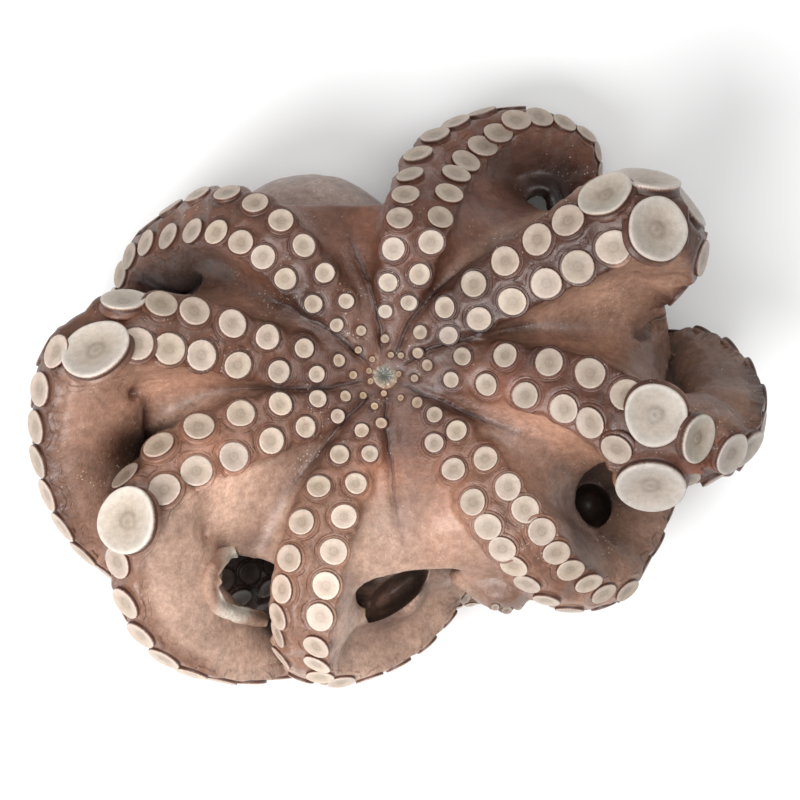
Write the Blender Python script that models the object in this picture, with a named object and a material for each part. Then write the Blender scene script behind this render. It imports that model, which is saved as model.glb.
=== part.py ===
"""Whole raw octopus, resting on its mantle with the arms opened and curled round the crown.

Lengths are millimetres here and are written as metres. +Z is up, the mouth faces up.
"""
import math
import bmesh
import bpy
import numpy as np

MM = 0.001
STEP = 3.0              # distance between rings along an arm
RING = 16               # corners of an arm's section
SKIN_CELL = 3.6         # cell of the shrink-wrap that joins arms, webs, head and mantle
SKIN_FACES = 2500           # triangles kept in the skin
WEB_THICK = 5.0         # web of skin between two arms
CENTRE_X = -0.39        # moves the octopus so that its box is centred on the origin
CENTRE_Y = 1.74
SUCKER_TALL = 1.8       # sucker disc above the skin
SUCKER_SINK = 3.0       # sucker foot under the skin
SUCKER_FILL = 0.94      # disc radius against the full radius, keeps neighbours apart
SUCKER_SIDES = 6
LEAN = (28.0, -6.0)      # the outer row's suckers tip outwards on the shoulder of the arm

# One entry for each arm, clockwise from the one pointing away.
# hand: +1 curls to the left seen from above, -1 to the right.
# ridge: middle of the sucker side, x, y, z and the roll of the suckers outwards in degrees.
# wide and deep: width and depth of the arm against the distance from the mouth.
# disc: largest ordinary sucker radius; first: first sucker of the outer and the inner row;
# pitch: from one sucker to the next at the distances in PITCH_AT; reach: last sucker;
# big: row, number in the row, radius and lean of the enlarged suckers.
PITCH_AT = (15, 35, 55, 75, 95, 115, 135, 160)
ARMS = {
    "away": dict(
        hand=-1,
        ridge=((-4, 12, 80, 0), (-3, 20, 81, 0), (3, 47, 90, 0), (6, 58, 91, 0), (9, 68, 84, 0),
               (18, 90, 53, 20), (34, 102, 37, 47), (44, 105, 32, 58), (73, 95, 22, 79),
               (72, 66, 15, 80), (66, 56, 7, 65), (57, 50, 1, 40)),
        wide=((0, 16), (50, 24), (90, 27), (130, 26), (185, 20), (215, 12), (231, 5)),
        deep=((0, 20), (60, 27), (105, 33), (165, 32), (195, 22), (215, 13), (234, 5)),
        disc=6.2, first=(12.5, 27),
        pitch=(9.5, 12.5, 11.5, 15, 13.5, 11, 11, 10.5),
        big=(), reach=190),
    "far_right": dict(
        hand=-1,
        ridge=((-2, 11, 80, 0), (18, 27, 88, 0), (40, 41, 97, 0), (59, 52, 107, 2),
               (83, 64, 112, 18), (93, 65, 107, 35), (106, 55, 92, 72), (104, 42, 77, 89),
               (93, 35, 57, 99), (78, 42, 34, 88), (78, 58, 14, 65), (86, 62, 3, 40)),
        wide=((0, 16), (50, 25), (95, 31), (140, 30), (190, 20), (235, 10), (252, 5)),
        deep=((0, 20), (60, 27), (110, 30), (150, 26), (200, 18), (235, 10), (252, 5)),
        disc=6.9, first=(19.5, 27),
        pitch=(12, 13.5, 14.5, 13, 17, 17, 20, 20),
        big=((0, 6, 9.6, 36), (0, 7, 11.4, 48), (0, 8, 9.4, 20), (1, 6, 11.0, 10)), reach=150),
    "right": dict(
        hand=1,
        ridge=((-1, 7, 80, 0), (5, 8, 81, 0), (25, 10, 88, 0), (49, 6, 98, 0), (71, -3, 107, 8),
               (80, -12, 110, 14), (91, -18, 110, 22), (120, -22, 91, 63), (129, -7, 75, 91),
               (124, 11, 58, 104), (108, 23, 42, 103), (92, 20, 29, 92), (84, 8, 20, 85),
               (90, -4, 9, 65), (102, -2, 1, 40)),
        wide=((0, 16), (50, 25), (100, 30), (150, 28), (200, 20), (255, 11), (279, 5)),
        deep=((0, 20), (60, 27), (110, 28), (150, 30), (190, 29), (215, 22), (255, 12), (282, 5)),
        disc=6.5, first=(24, 16),
        pitch=(12.5, 16, 15.5, 12, 16.5, 15.5, 13.5, 13.5),
        big=((1, 6, 10.9, 4), (1, 7, 8.6, 4), (1, 8, 8.0, 4), (1, 9, 7.6, 4), (0, 6, 12.1, 24)), reach=205),
    "near_right": dict(
        hand=1,
        ridge=((-1, 3, 80, 0), (9, -7, 83, 0), (22, -20, 88, 0), (32, -34, 93, 0),
               (43, -50, 93, 8), (56, -67, 79, 28), (72, -74, 62, 55), (84, -70, 54, 76),
               (90, -62, 45, 90), (100, -28, 31, 90), (92, -16, 24, 85), (74, -14, 17, 80),
               (62, -26, 8, 65), (66, -40, 1, 40)),
        wide=((0, 16), (50, 24), (90, 26), (140, 24), (200, 17), (235, 10), (258, 5)),
        deep=((0, 20), (60, 27), (100, 29), (125, 32), (160, 29), (200, 20), (235, 11), (258, 5)),
        disc=5.5, first=(27.5, 13),
        pitch=(7.5, 15.5, 10, 9.5, 12.5, 13, 13.5, 13.5),
        big=(), reach=190),
    "near": dict(
        hand=1,
        ridge=((-6, 2, 80, 0), (-10, -13, 85, 0), (-15, -20, 88, 0), (-26, -42, 96, 3),
               (-33, -66, 97, 14), (-36, -83, 90, 26), (-36, -94, 76, 42), (-32, -100, 66, 58),
               (-14, -103, 50, 84), (9, -92, 39, 93), (25, -72, 29, 94), (33, -47, 16, 70),
               (19, -29, 1, 40)),
        wide=((0, 16), (50, 24), (90, 27), (140, 24), (200, 17), (250, 9), (267, 5)),
        deep=((0, 20), (60, 28), (95, 31), (130, 26), (210, 23), (250, 10), (267, 5)),
        disc=5.5, first=(32.5, 26),
        pitch=(12, 13.5, 13.5, 11.5, 12, 14, 14, 13.5),
        big=(), reach=205),
    "near_left": dict(
        hand=1,
        ridge=((-9, 5, 80, 0), (-20, -3, 84, 0), (-30, -5, 88, 0), (-56, -13, 97, 5),
               (-82, -24, 104, 28), (-99, -43, 101, 52), (-99, -60, 94, 62), (-89, -87, 80, 74),
               (-75, -98, 67, 82), (-57, -103, 51, 88), (-32, -100, 34, 90), (-10, -92, 26, 85),
               (10, -83, 17, 70), (26, -77, 9, 45), (39, -77, 4, 20)),
        wide=((0, 16), (50, 24), (100, 30), (150, 28), (220, 24), (290, 14), (326, 5)),
        deep=((0, 20), (60, 30), (100, 38), (150, 38), (190, 31), (240, 22), (290, 12), (326, 5)),
        disc=6.7, first=(26.5, 20.5),
        pitch=(12, 14, 15.5, 14, 17.5, 20, 14, 13.5),
        big=((1, 6, 12.0, 0),), reach=215),
    "left": dict(
        hand=1,
        ridge=((-9, 8, 80, 0), (-30, 12, 86, 0), (-50, 16, 93, 1), (-69, 22, 100, 8),
               (-92, 26, 105, 25), (-104, 26, 104, 38), (-115, 22, 100, 52), (-128, -11, 84, 72),
               (-118, -50, 65, 80), (-98, -69, 46, 82), (-84, -75, 39, 62), (-66, -72, 34, 26),
               (-50, -67, 29, 14), (-38, -60, 16, 30), (-30, -50, 1, 40)),
        wide=((0, 16), (50, 24), (100, 30), (150, 28), (220, 22), (290, 11), (313, 5)),
        deep=((0, 20), (60, 30), (100, 36), (150, 38), (205, 38), (250, 22), (290, 12), (328, 5)),
        disc=6.7, first=(17, 11),
        pitch=(13, 14.5, 14, 11, 16.5, 18, 15, 13.5),
        big=((1, 7, 12.2, 0), (0, 6, 7.8, 34)), reach=215),
    "far_left": dict(
        hand=1,
        ridge=((-9, 11, 80, 0), (-20, 29, 85, 0), (-32, 42, 89, 0), (-45, 56, 91, 4),
               (-64, 66, 79, 20), (-80, 65, 62, 42), (-92, 59, 50, 57), (-98, 54, 42, 66),
               (-106, 30, 30, 83), (-106, 12, 23, 84), (-103, -6, 13, 78), (-97, -22, 7, 65),
               (-85, -35, 1, 40)),
        wide=((0, 16), (50, 24), (90, 26), (140, 23), (190, 15), (240, 5)),
        deep=((0, 20), (60, 27), (90, 29), (140, 28), (190, 17), (240, 5)),
        disc=5.6, first=(17, 23.5),
        pitch=(11, 13, 11, 13, 16.5, 12.5, 11.5, 11.5),
        big=(), reach=164),
}

# Webs: the two arms, how far out the web follows each, how deep under the suckers it starts,
# and the bottom of the valley between them from the mouth outwards.
WEBS = (
    ("away", "far_left", 70, 84, 8,
     ((-5, 11, 78), (-7, 27, 77), (-11, 42, 77), (-17, 56, 75), (-22, 69, 68))),
    ("far_left", "left", 96, 90, 9,
     ((-8, 10, 78), (-17, 18, 77), (-28, 26, 77), (-42, 33, 77), (-57, 37, 72), (-72, 38, 58))),
    ("left", "near_left", 118, 104, 10,
     ((-9, 7, 78), (-21, 4, 77), (-39, 3, 77), (-57, 3, 77), (-73, 0, 72), (-86, -6, 60),
      (-93, -14, 42))),
    ("near_left", "near", 118, 82, 9,
     ((-7, 3, 78), (-17, -6, 77), (-26, -17, 77), (-36, -29, 77), (-47, -42, 75),
      (-56, -56, 68))),
    ("near", "near_right", 90, 106, 8,
     ((-4, 2, 78), (-4, -12, 78), (-2, -26, 80), (0, -44, 83), (6, -62, 77))),
    ("near_right", "right", 108, 106, 9,
     ((-2, 6, 78), (11, 0, 77), (25, -6, 77), (40, -12, 78), (54, -21, 73), (65, -31, 58))),
    ("right", "far_right", 100, 116, 9,
     ((-2, 9, 78), (11, 17, 77), (25, 21, 77), (43, 25, 77), (65, 26, 75), (86, 23, 66),
      (97, 20, 52))),
    ("far_right", "away", 94, 106, 9,
     ((-3, 11, 78), (4, 26, 77), (13, 37, 77), (24, 46, 75), (36, 55, 69), (46, 65, 50))),
)

# Folds of slack skin low under the curls: centre and half sizes.
FOLDS = (
    ((72, -35, 26), (19, 18, 15)),
    ((-4, -60, 36), (30, 17, 20)),
    ((-92, -12, 22), (15, 15, 13)),
    ((104, 6, 26), (14, 14, 13)),
    ((-74, 36, 24), (14, 12, 13)),
    ((-56, -68, 20), (13, 13, 12)),
)

# Head under the mouth and the mantle folded out behind it: centre and half sizes.
HEAD = ((-7, 10, 42), (31, 31, 36))
NECK = ((-15, 30, 33), (30, 30, 31))
MANTLE = ((-33, 36, 29), (42, 47, 31))


def unit(v):
    return v / np.linalg.norm(v, axis=-1, keepdims=True)


def smooth_line(knots, step):
    """Curve through the knots with tangents weighted by the distance to each neighbour."""
    p = np.array(knots, float)
    gap = np.linalg.norm(np.diff(p[:, :3], axis=0), axis=1)
    d = np.diff(p, axis=0) / gap[:, None]
    m = np.vstack([d[:1], d])
    for i in range(1, len(p) - 1):
        m[i] = (d[i - 1] * gap[i] + d[i] * gap[i - 1]) / (gap[i] + gap[i - 1])
    rows = []
    for i, h in enumerate(gap):
        n = max(2, int(round(h / step)))
        for k in range(n):
            t = k / n
            rows.append((2 * t**3 - 3 * t**2 + 1) * p[i] + (t**3 - 2 * t**2 + t) * h * m[i]
                        + (3 * t**2 - 2 * t**3) * p[i + 1] + (t**3 - t**2) * h * m[i + 1])
    rows.append(p[-1])
    return np.array(rows)


class Arm:
    """Frames along one arm: ridge point, tangent, sucker direction and outward side."""

    def __init__(self, spec):
        self.spec = spec
        line = smooth_line(spec["ridge"], 1.0)
        self.ridge = line[:, :3]
        walk = np.linalg.norm(np.diff(self.ridge, axis=0), axis=1)
        self.dist = 4.0 + np.concatenate([[0.0], np.cumsum(walk)])
        self.length = self.dist[-1]
        along = unit(np.gradient(self.ridge, axis=0))
        up = np.array([0.0, 0.0, 1.0])
        rise = unit(up - along * (along @ up)[:, None])
        side = np.cross(along, rise) * spec["hand"]
        roll = np.radians(line[:, 3])[:, None]
        self.along = along
        self.face = np.cos(roll) * rise + np.sin(roll) * side
        self.out = np.cos(roll) * side - np.sin(roll) * rise

    def at(self, values, s):
        return np.array([np.interp(s, self.dist, values[:, k]) for k in range(3)])

    def size(self, name, s):
        table = self.spec[name]
        return np.interp(s, [a for a, _ in table], [b for _, b in table])

    def core(self, s, under):
        return self.at(self.ridge, s) - unit(self.at(self.face, s)) * under

    def flank(self, s, under, towards):
        """Point inside the arm, a quarter of its width to the side that looks at towards."""
        base = self.core(s, under)
        out = unit(self.at(self.out, s))
        sign = 1.0 if out @ (towards - base) > 0 else -1.0
        return base + out * sign * self.size("wide", s) / 4


def arm_rings(arm):
    """Closed tube: flat sucker side, rounded back, tapering to the tip."""
    rings = []
    count = int(round((arm.length - 4.0) / STEP))
    for k in range(count + 1):
        s = 4.0 + (arm.length - 4.0) * k / count
        half_w = arm.size("wide", s) / 2
        half_d = arm.size("deep", s) / 2
        centre = arm.core(s, half_d)
        face = unit(arm.at(arm.face, s))
        out = unit(arm.at(arm.out, s))
        ring = []
        for j in range(RING):
            a = 2 * math.pi * (j + 0.5) / RING
            c, q = math.cos(a), math.sin(a)
            power = 3.0 if q > 0 else 2.2
            grow = (abs(c)**power + abs(q)**power)**(-1 / power)
            ring.append(centre + out * half_w * c * grow + face * half_d * q * grow)
        rings.append(ring)
    return rings


def tube(bm, rings):
    verts = [[bm.verts.new(p * MM) for p in ring] for ring in rings]
    n = len(verts[0])
    for a, b in zip(verts, verts[1:]):
        for j in range(n):
            bm.faces.new((a[j], a[(j + 1) % n], b[(j + 1) % n], b[j]))
    bm.faces.new(verts[0][::-1])
    bm.faces.new(verts[-1])


def web_grid(arms, spec, rows=16, cols=10):
    """Sheet from arm to arm, sagging through the valley line."""
    one, two, far_one, far_two, under, valley = spec
    low = smooth_line(valley, 1.0)
    walk = np.concatenate([[0.0], np.cumsum(np.linalg.norm(np.diff(low, axis=0), axis=1))])
    grid = []
    for k in range(rows):
        u = k / (rows - 1)
        v = np.array([np.interp(u * walk[-1], walk, low[:, i]) for i in range(3)])
        p = arms[one].flank(6 + (far_one - 6) * u, under * (0.6 + 0.4 * u), v)
        q = arms[two].flank(6 + (far_two - 6) * u, under * (0.6 + 0.4 * u), v)
        pull = 2 * v - (p + q) / 2
        line = []
        for j in range(cols):
            t = j / (cols - 1)
            line.append((1 - t)**2 * p + 2 * t * (1 - t) * pull + t**2 * q)
        grid.append(line)
    return np.array(grid)


def slab(bm, grid, thick):
    du = np.gradient(grid, axis=0)
    dv = np.gradient(grid, axis=1)
    normal = unit(np.cross(du, dv))
    sides = [[[bm.verts.new(p * MM) for p in line] for line in grid + normal * thick * f]
             for f in (0.5, -0.5)]
    top, bottom = sides
    m, n = len(top), len(top[0])
    for i in range(m - 1):
        for j in range(n - 1):
            bm.faces.new((top[i][j], top[i + 1][j], top[i + 1][j + 1], top[i][j + 1]))
            bm.faces.new((bottom[i][j], bottom[i][j + 1], bottom[i + 1][j + 1],
                          bottom[i + 1][j]))
    edge = [(i, 0) for i in range(m)] + [(m - 1, j) for j in range(1, n)]
    edge += [(i, n - 1) for i in range(m - 2, -1, -1)] + [(0, j) for j in range(n - 2, 0, -1)]
    for a, b in zip(edge, edge[1:] + edge[:1]):
        bm.faces.new((top[a[0]][a[1]], bottom[a[0]][a[1]], bottom[b[0]][b[1]],
                      top[b[0]][b[1]]))


def egg(bm, centre, half):
    made = bmesh.ops.create_icosphere(bm, subdivisions=4, radius=1.0)
    for v in made["verts"]:
        for i in range(3):
            v.co[i] = (centre[i] + half[i] * v.co[i]) * MM


def new_object(name, bm):
    bmesh.ops.recalc_face_normals(bm, faces=bm.faces)
    mesh = bpy.data.meshes.new(name)
    bm.to_mesh(mesh)
    bm.free()
    obj = bpy.data.objects.new(name, mesh)
    bpy.context.collection.objects.link(obj)
    return obj


def bake(obj):
    """Replace the object's mesh with the one its modifiers make."""
    graph = bpy.context.evaluated_depsgraph_get()
    mesh = bpy.data.meshes.new_from_object(obj.evaluated_get(graph))
    obj.modifiers.clear()
    obj.data = mesh


def keep_outer(obj):
    """Drop everything but the largest closed skin, so nothing is sealed inside."""
    bm = bmesh.new()
    bm.from_mesh(obj.data)
    left = set(bm.verts)
    parts = []
    while left:
        seed = left.pop()
        part = [seed]
        stack = [seed]
        while stack:
            for edge in stack.pop().link_edges:
                for v in edge.verts:
                    if v in left:
                        left.discard(v)
                        part.append(v)
                        stack.append(v)
        parts.append(part)
    parts.sort(key=len)
    for part in parts[:-1]:
        bmesh.ops.delete(bm, geom=part, context="VERTS")
    bm.to_mesh(obj.data)
    bm.free()


def sucker_spots(arm):
    """Distance, side offset, radius and lean of each sucker, in two alternating rows."""
    spec = arm.spec
    spots = []
    for row, side in enumerate((1, -1)):
        s = spec["first"][row]
        number = 0
        while s < spec["reach"]:
            grown = 1 - math.exp(-(s - 5) / 36)
            radius = spec["disc"] * grown * min(1.0, 0.35 + 0.65 * (arm.length - s) / 90)
            lean = LEAN[row] * min(1.0, max(0.25, (s - 30) / 60))
            for big_row, big_number, big_radius, big_lean in spec["big"]:
                if (row, number) == (big_row, big_number):
                    radius = big_radius
                    lean = side * big_lean
            offset = 8.6 * (1 - math.exp(-(s - 7) / 36)) * min(1.0, (arm.length - s) / 70)
            offset = min(offset, arm.size("wide", s) / 2 - 3) + max(0.0, radius - 7) * 0.4
            spots.append((s, side * offset, radius, math.radians(lean)))
            s += float(np.interp(s, PITCH_AT, spec["pitch"]))
            number += 1
    return spots


def sucker(bm, centre, face, along, radius, sides):
    """Flat disc on a narrower neck, sunk into the skin."""
    side = np.cross(face, along)
    tall = SUCKER_TALL * min(1.3, 0.4 + radius / 9)
    loops = []
    for height, grow in ((-SUCKER_SINK, 0.72), (tall, 1.0)):
        loops.append([centre + face * height + (along * math.cos(a) + side * math.sin(a))
                      * radius * SUCKER_FILL * grow
                      for a in [2 * math.pi * (k + 0.5) / sides for k in range(sides)]])
    tube(bm, loops)


for old in list(bpy.data.objects):
    bpy.data.objects.remove(old)

arms = {name: Arm(spec) for name, spec in ARMS.items()}
flesh = bmesh.new()
for arm in arms.values():
    tube(flesh, arm_rings(arm))
for spec in WEBS:
    slab(flesh, web_grid(arms, spec), WEB_THICK)
for centre, half in (HEAD, NECK, MANTLE) + FOLDS:
    egg(flesh, centre, half)
body = new_object("octopus", flesh)
wrap = body.modifiers.new("wrap", "REMESH")
wrap.mode = "VOXEL"
wrap.voxel_size = SKIN_CELL * MM
bake(body)
keep_outer(body)
soft = body.modifiers.new("soft", "SMOOTH")
soft.factor = 0.5
soft.iterations = 4
thin = body.modifiers.new("thin", "DECIMATE")
thin.ratio = SKIN_FACES / (2 * len(body.data.polygons))
thin.use_collapse_triangulate = True
bake(body)

cups = bmesh.new()
for arm in arms.values():
    for s, offset, radius, lean in sucker_spots(arm):
        face = unit(arm.at(arm.face, s))
        out = unit(arm.at(arm.out, s))
        centre = arm.at(arm.ridge, s) + out * offset - face * abs(offset) * 0.12
        face = face * math.cos(lean) + out * math.sin(lean)
        sides = SUCKER_SIDES if radius > 5 else 5
        if radius > 9:
            sides = 9
        sucker(cups, centre, face, unit(arm.at(arm.along, s)), radius, sides)
rows = new_object("sucker_rows", cups)
rows.hide_render = True
rows.display_type = "WIRE"
floor_bm = bmesh.new()
bmesh.ops.create_cube(floor_bm, size=1.0)
for v in floor_bm.verts:
    v.co.z -= 0.5
ground = new_object("ground", floor_bm)
ground.hide_render = True
ground.display_type = "WIRE"
join = body.modifiers.new("suckers", "BOOLEAN")
join.operation = "UNION"
join.solver = "EXACT"
join.use_self = True
join.object = rows
rest = body.modifiers.new("rest", "BOOLEAN")
rest.operation = "DIFFERENCE"
rest.solver = "EXACT"
rest.object = ground
bake(body)
for extra in (rows, ground):
    bpy.data.objects.remove(extra)
for v in body.data.vertices:
    v.co.x -= CENTRE_X * MM
    v.co.y -= CENTRE_Y * MM

skin = bpy.data.materials.new("octopus_skin")
skin.use_nodes = True
shader = skin.node_tree.nodes["Principled BSDF"]
shader.inputs["Base Color"].default_value = (0.30, 0.19, 0.15, 1.0)
shader.inputs["Roughness"].default_value = 0.35
body.data.materials.clear()
body.data.materials.append(skin)
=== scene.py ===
"""Whole raw octopus lying mouth up, its arms opened over the crown and curled under.

Lengths are millimetres in the tables and metres in the meshes. +Z is up.
"""
import math
import bmesh
import bpy
import numpy as np
from mathutils import Matrix, Vector, noise
from mathutils.bvhtree import BVHTree
from mathutils.kdtree import KDTree


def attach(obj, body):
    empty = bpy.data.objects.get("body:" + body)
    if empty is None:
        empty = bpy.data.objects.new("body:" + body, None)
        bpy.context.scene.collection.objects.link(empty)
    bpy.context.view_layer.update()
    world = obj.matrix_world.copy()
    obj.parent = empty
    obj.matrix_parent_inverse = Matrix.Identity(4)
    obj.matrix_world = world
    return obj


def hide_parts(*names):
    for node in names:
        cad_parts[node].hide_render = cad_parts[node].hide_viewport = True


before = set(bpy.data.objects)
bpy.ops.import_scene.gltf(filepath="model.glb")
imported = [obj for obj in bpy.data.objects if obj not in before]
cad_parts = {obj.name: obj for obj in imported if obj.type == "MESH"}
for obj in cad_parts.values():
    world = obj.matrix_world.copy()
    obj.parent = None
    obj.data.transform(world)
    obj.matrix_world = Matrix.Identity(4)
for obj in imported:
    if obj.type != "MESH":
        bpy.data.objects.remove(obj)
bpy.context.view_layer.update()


# ---------------------------------------------------------------------------------------
# Skin: one wet skin runs over eight arms, the webs between them, the head below the mouth
# and the mantle folded out behind. It is soft muscle, so arms, webs and mantle are made
# apart, shrink-wrapped into one skin and then relaxed until every join is a smooth hollow.
# ---------------------------------------------------------------------------------------
MM = 0.001
CENTRE = np.array([-0.39, 1.74, 0.0])      # middle of the arms' own table in the model
MOUTH = (-4.8, 7.8, 80.0)
ARM_CELL = 3.0                              # ring to ring along an arm
ARM_SIDES = 24
WEB_THICK = 5.0
SKIN_CELL = 1.35     # cell of the shrink-wrap
SKIN_TRIANGLES = 190000

# One entry for each arm, clockwise from the one pointing away.
# hand: +1 curls to the left seen from above, -1 to the right.
# ridge: middle of the sucker side, x, y, z and the roll of the suckers outwards in degrees.
# wide and deep: width and depth of the arm against the distance from the mouth.
# disc: largest ordinary sucker radius; first: first sucker of the outer and the inner row;
# pitch: from one sucker to the next at the distances in PITCH_AT;
# big: row, number in the row, radius, lean, nod along the arm and shift of the enlarged
# suckers; skip: row and number of suckers that have no room beside those.
PITCH_AT = (15, 35, 55, 75, 95, 115, 135, 160)
ARMS = {
    "away": dict(
        hand=-1,
        ridge=((-4, 12, 80, 0), (-3, 20, 81, 0), (3, 47, 90, 0), (6, 58, 91, 0), (9, 68, 84, 0),
               (18, 90, 53, 20), (34, 102, 37, 47), (44, 105, 32, 58), (73, 95, 22, 79),
               (72, 66, 15, 80), (66, 56, 7, 65), (57, 50, 1, 40)),
        wide=((0, 16), (50, 24), (90, 27), (130, 26), (185, 20), (215, 12), (231, 5)),
        deep=((0, 20), (60, 27), (105, 33), (165, 32), (195, 22), (215, 13), (234, 5)),
        disc=6.2, first=(12.5, 27),
        pitch=(9.5, 12.5, 11.5, 15, 13.5, 11, 11, 10.5),
        big=(), skip=()),
    "far_right": dict(
        hand=-1,
        ridge=((-2, 11, 80, 0), (18, 27, 88, 0), (40, 41, 97, 0), (59, 52, 107, 2),
               (83, 64, 112, 18), (93, 65, 107, 35), (106, 55, 92, 72), (104, 42, 77, 89),
               (93, 35, 57, 99), (78, 42, 34, 88), (78, 58, 14, 65), (86, 62, 3, 40)),
        wide=((0, 16), (50, 25), (95, 31), (140, 30), (190, 20), (235, 10), (252, 5)),
        deep=((0, 20), (60, 27), (110, 30), (150, 26), (200, 18), (235, 10), (252, 5)),
        disc=6.9, first=(19.5, 27),
        pitch=(12, 13.5, 14.5, 13, 17, 17, 20, 20),
        big=((0, 6, 9.6, 36, 0, 0), (0, 7, 11.6, 38, 0, 1.5), (0, 8, 9.0, 15, 0, 0),
             (1, 6, 11.4, 12, 0, -1.5)), skip=((1, 7),)),
    "right": dict(
        hand=1,
        ridge=((-1, 7, 80, 0), (5, 8, 81, 0), (25, 10, 88, 0), (49, 6, 98, 0), (71, -3, 107, 8),
               (80, -12, 110, 14), (91, -18, 110, 22), (120, -22, 91, 63), (129, -7, 75, 91),
               (124, 11, 58, 104), (108, 23, 42, 103), (92, 20, 29, 92), (84, 8, 20, 85),
               (90, -4, 9, 65), (102, -2, 1, 40)),
        wide=((0, 16), (50, 25), (100, 30), (150, 28), (200, 20), (255, 11), (279, 5)),
        deep=((0, 20), (60, 27), (110, 28), (150, 30), (190, 29), (215, 22), (255, 12), (282, 5)),
        disc=6.5, first=(24, 16),
        pitch=(12.5, 16, 15.5, 12, 16.5, 15.5, 13.5, 13.5),
        big=((1, 6, 10.9, 4, 0, 0), (1, 7, 8.6, 24, 30, 0), (1, 8, 7.6, 26, 10, 0),
             (1, 9, 7.6, 4, 0, 0), (0, 6, 12.4, 20, 0, 3.5), (0, 7, 6.0, 14, 0, 3.5),
             (0, 8, 6.2, 17, 0, 2.5)), skip=()),
    "near_right": dict(
        hand=1,
        ridge=((-1, 3, 80, 0), (9, -7, 83, 0), (22, -20, 88, 0), (32, -34, 93, 0),
               (43, -50, 93, 8), (56, -67, 79, 28), (72, -74, 62, 55), (84, -70, 54, 76),
               (90, -62, 45, 90), (100, -28, 31, 90), (92, -16, 24, 85), (74, -14, 17, 80),
               (62, -26, 8, 65), (66, -40, 1, 40)),
        wide=((0, 16), (50, 24), (90, 26), (140, 24), (200, 17), (235, 10), (258, 5)),
        deep=((0, 20), (60, 27), (100, 29), (125, 32), (160, 29), (200, 20), (235, 11), (258, 5)),
        disc=5.5, first=(27.5, 13),
        pitch=(7.5, 15.5, 10, 9.5, 12.5, 13, 13.5, 13.5),
        big=(), skip=()),
    "near": dict(
        hand=1,
        ridge=((-6, 2, 80, 0), (-10, -13, 85, 0), (-15, -20, 88, 0), (-26, -42, 96, 3),
               (-33, -66, 97, 14), (-36, -83, 90, 26), (-36, -94, 76, 42), (-32, -100, 66, 58),
               (-14, -103, 50, 84), (9, -92, 39, 93), (25, -72, 29, 94), (33, -47, 16, 70),
               (19, -29, 1, 40)),
        wide=((0, 16), (50, 24), (90, 27), (140, 24), (200, 17), (250, 9), (267, 5)),
        deep=((0, 20), (60, 28), (95, 31), (130, 26), (210, 23), (250, 10), (267, 5)),
        disc=5.5, first=(32.5, 26),
        pitch=(12, 13.5, 13.5, 11.5, 12, 14, 14, 13.5),
        big=(), skip=()),
    "near_left": dict(
        hand=1,
        ridge=((-9, 5, 80, 0), (-20, -3, 84, 0), (-30, -5, 88, 0), (-56, -13, 97, 5),
               (-82, -24, 104, 28), (-99, -43, 101, 52), (-99, -60, 94, 62), (-89, -87, 80, 74),
               (-75, -98, 67, 82), (-57, -103, 51, 88), (-32, -100, 34, 90), (-10, -92, 26, 85),
               (10, -83, 17, 70), (26, -77, 9, 45), (39, -77, 4, 20)),
        wide=((0, 16), (50, 24), (100, 30), (150, 28), (220, 24), (290, 14), (326, 5)),
        deep=((0, 20), (60, 30), (100, 38), (150, 38), (190, 31), (240, 22), (290, 12), (326, 5)),
        disc=6.7, first=(26.5, 20.5),
        pitch=(12, 14, 15.5, 14, 17.5, 20, 14, 13.5),
        big=((1, 6, 12.2, 14, 0, 0),), skip=((0, 7),)),
    "left": dict(
        hand=1,
        ridge=((-9, 8, 80, 0), (-30, 12, 86, 0), (-50, 16, 93, 1), (-69, 22, 100, 8),
               (-92, 26, 105, 25), (-104, 26, 104, 38), (-115, 22, 100, 52), (-128, -11, 84, 72),
               (-118, -50, 65, 80), (-98, -69, 46, 82), (-84, -75, 39, 62), (-66, -72, 34, 26),
               (-50, -67, 29, 14), (-38, -60, 16, 30), (-30, -50, 1, 40)),
        wide=((0, 16), (50, 24), (100, 30), (150, 28), (220, 22), (290, 11), (313, 5)),
        deep=((0, 20), (60, 30), (100, 36), (150, 38), (205, 38), (250, 22), (290, 12), (328, 5)),
        disc=6.7, first=(17, 11),
        pitch=(13, 14.5, 14, 11, 16.5, 18, 15, 13.5),
        big=((1, 7, 12.2, 0, 0, 0), (0, 6, 7.8, 34, 0, 0)), skip=((0, 7),)),
    "far_left": dict(
        hand=1,
        ridge=((-9, 11, 80, 0), (-20, 29, 85, 0), (-32, 42, 89, 0), (-45, 56, 91, 4),
               (-64, 66, 79, 20), (-80, 65, 62, 42), (-92, 59, 50, 57), (-98, 54, 42, 66),
               (-106, 30, 30, 83), (-106, 12, 23, 84), (-103, -6, 13, 78), (-97, -22, 7, 65),
               (-85, -35, 1, 40)),
        wide=((0, 16), (50, 24), (90, 26), (140, 23), (190, 15), (240, 5)),
        deep=((0, 20), (60, 27), (90, 29), (140, 28), (190, 17), (240, 5)),
        disc=5.6, first=(17, 23.5),
        pitch=(11, 13, 11, 13, 16.5, 12.5, 11.5, 11.5),
        big=(), skip=()),
}

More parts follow.
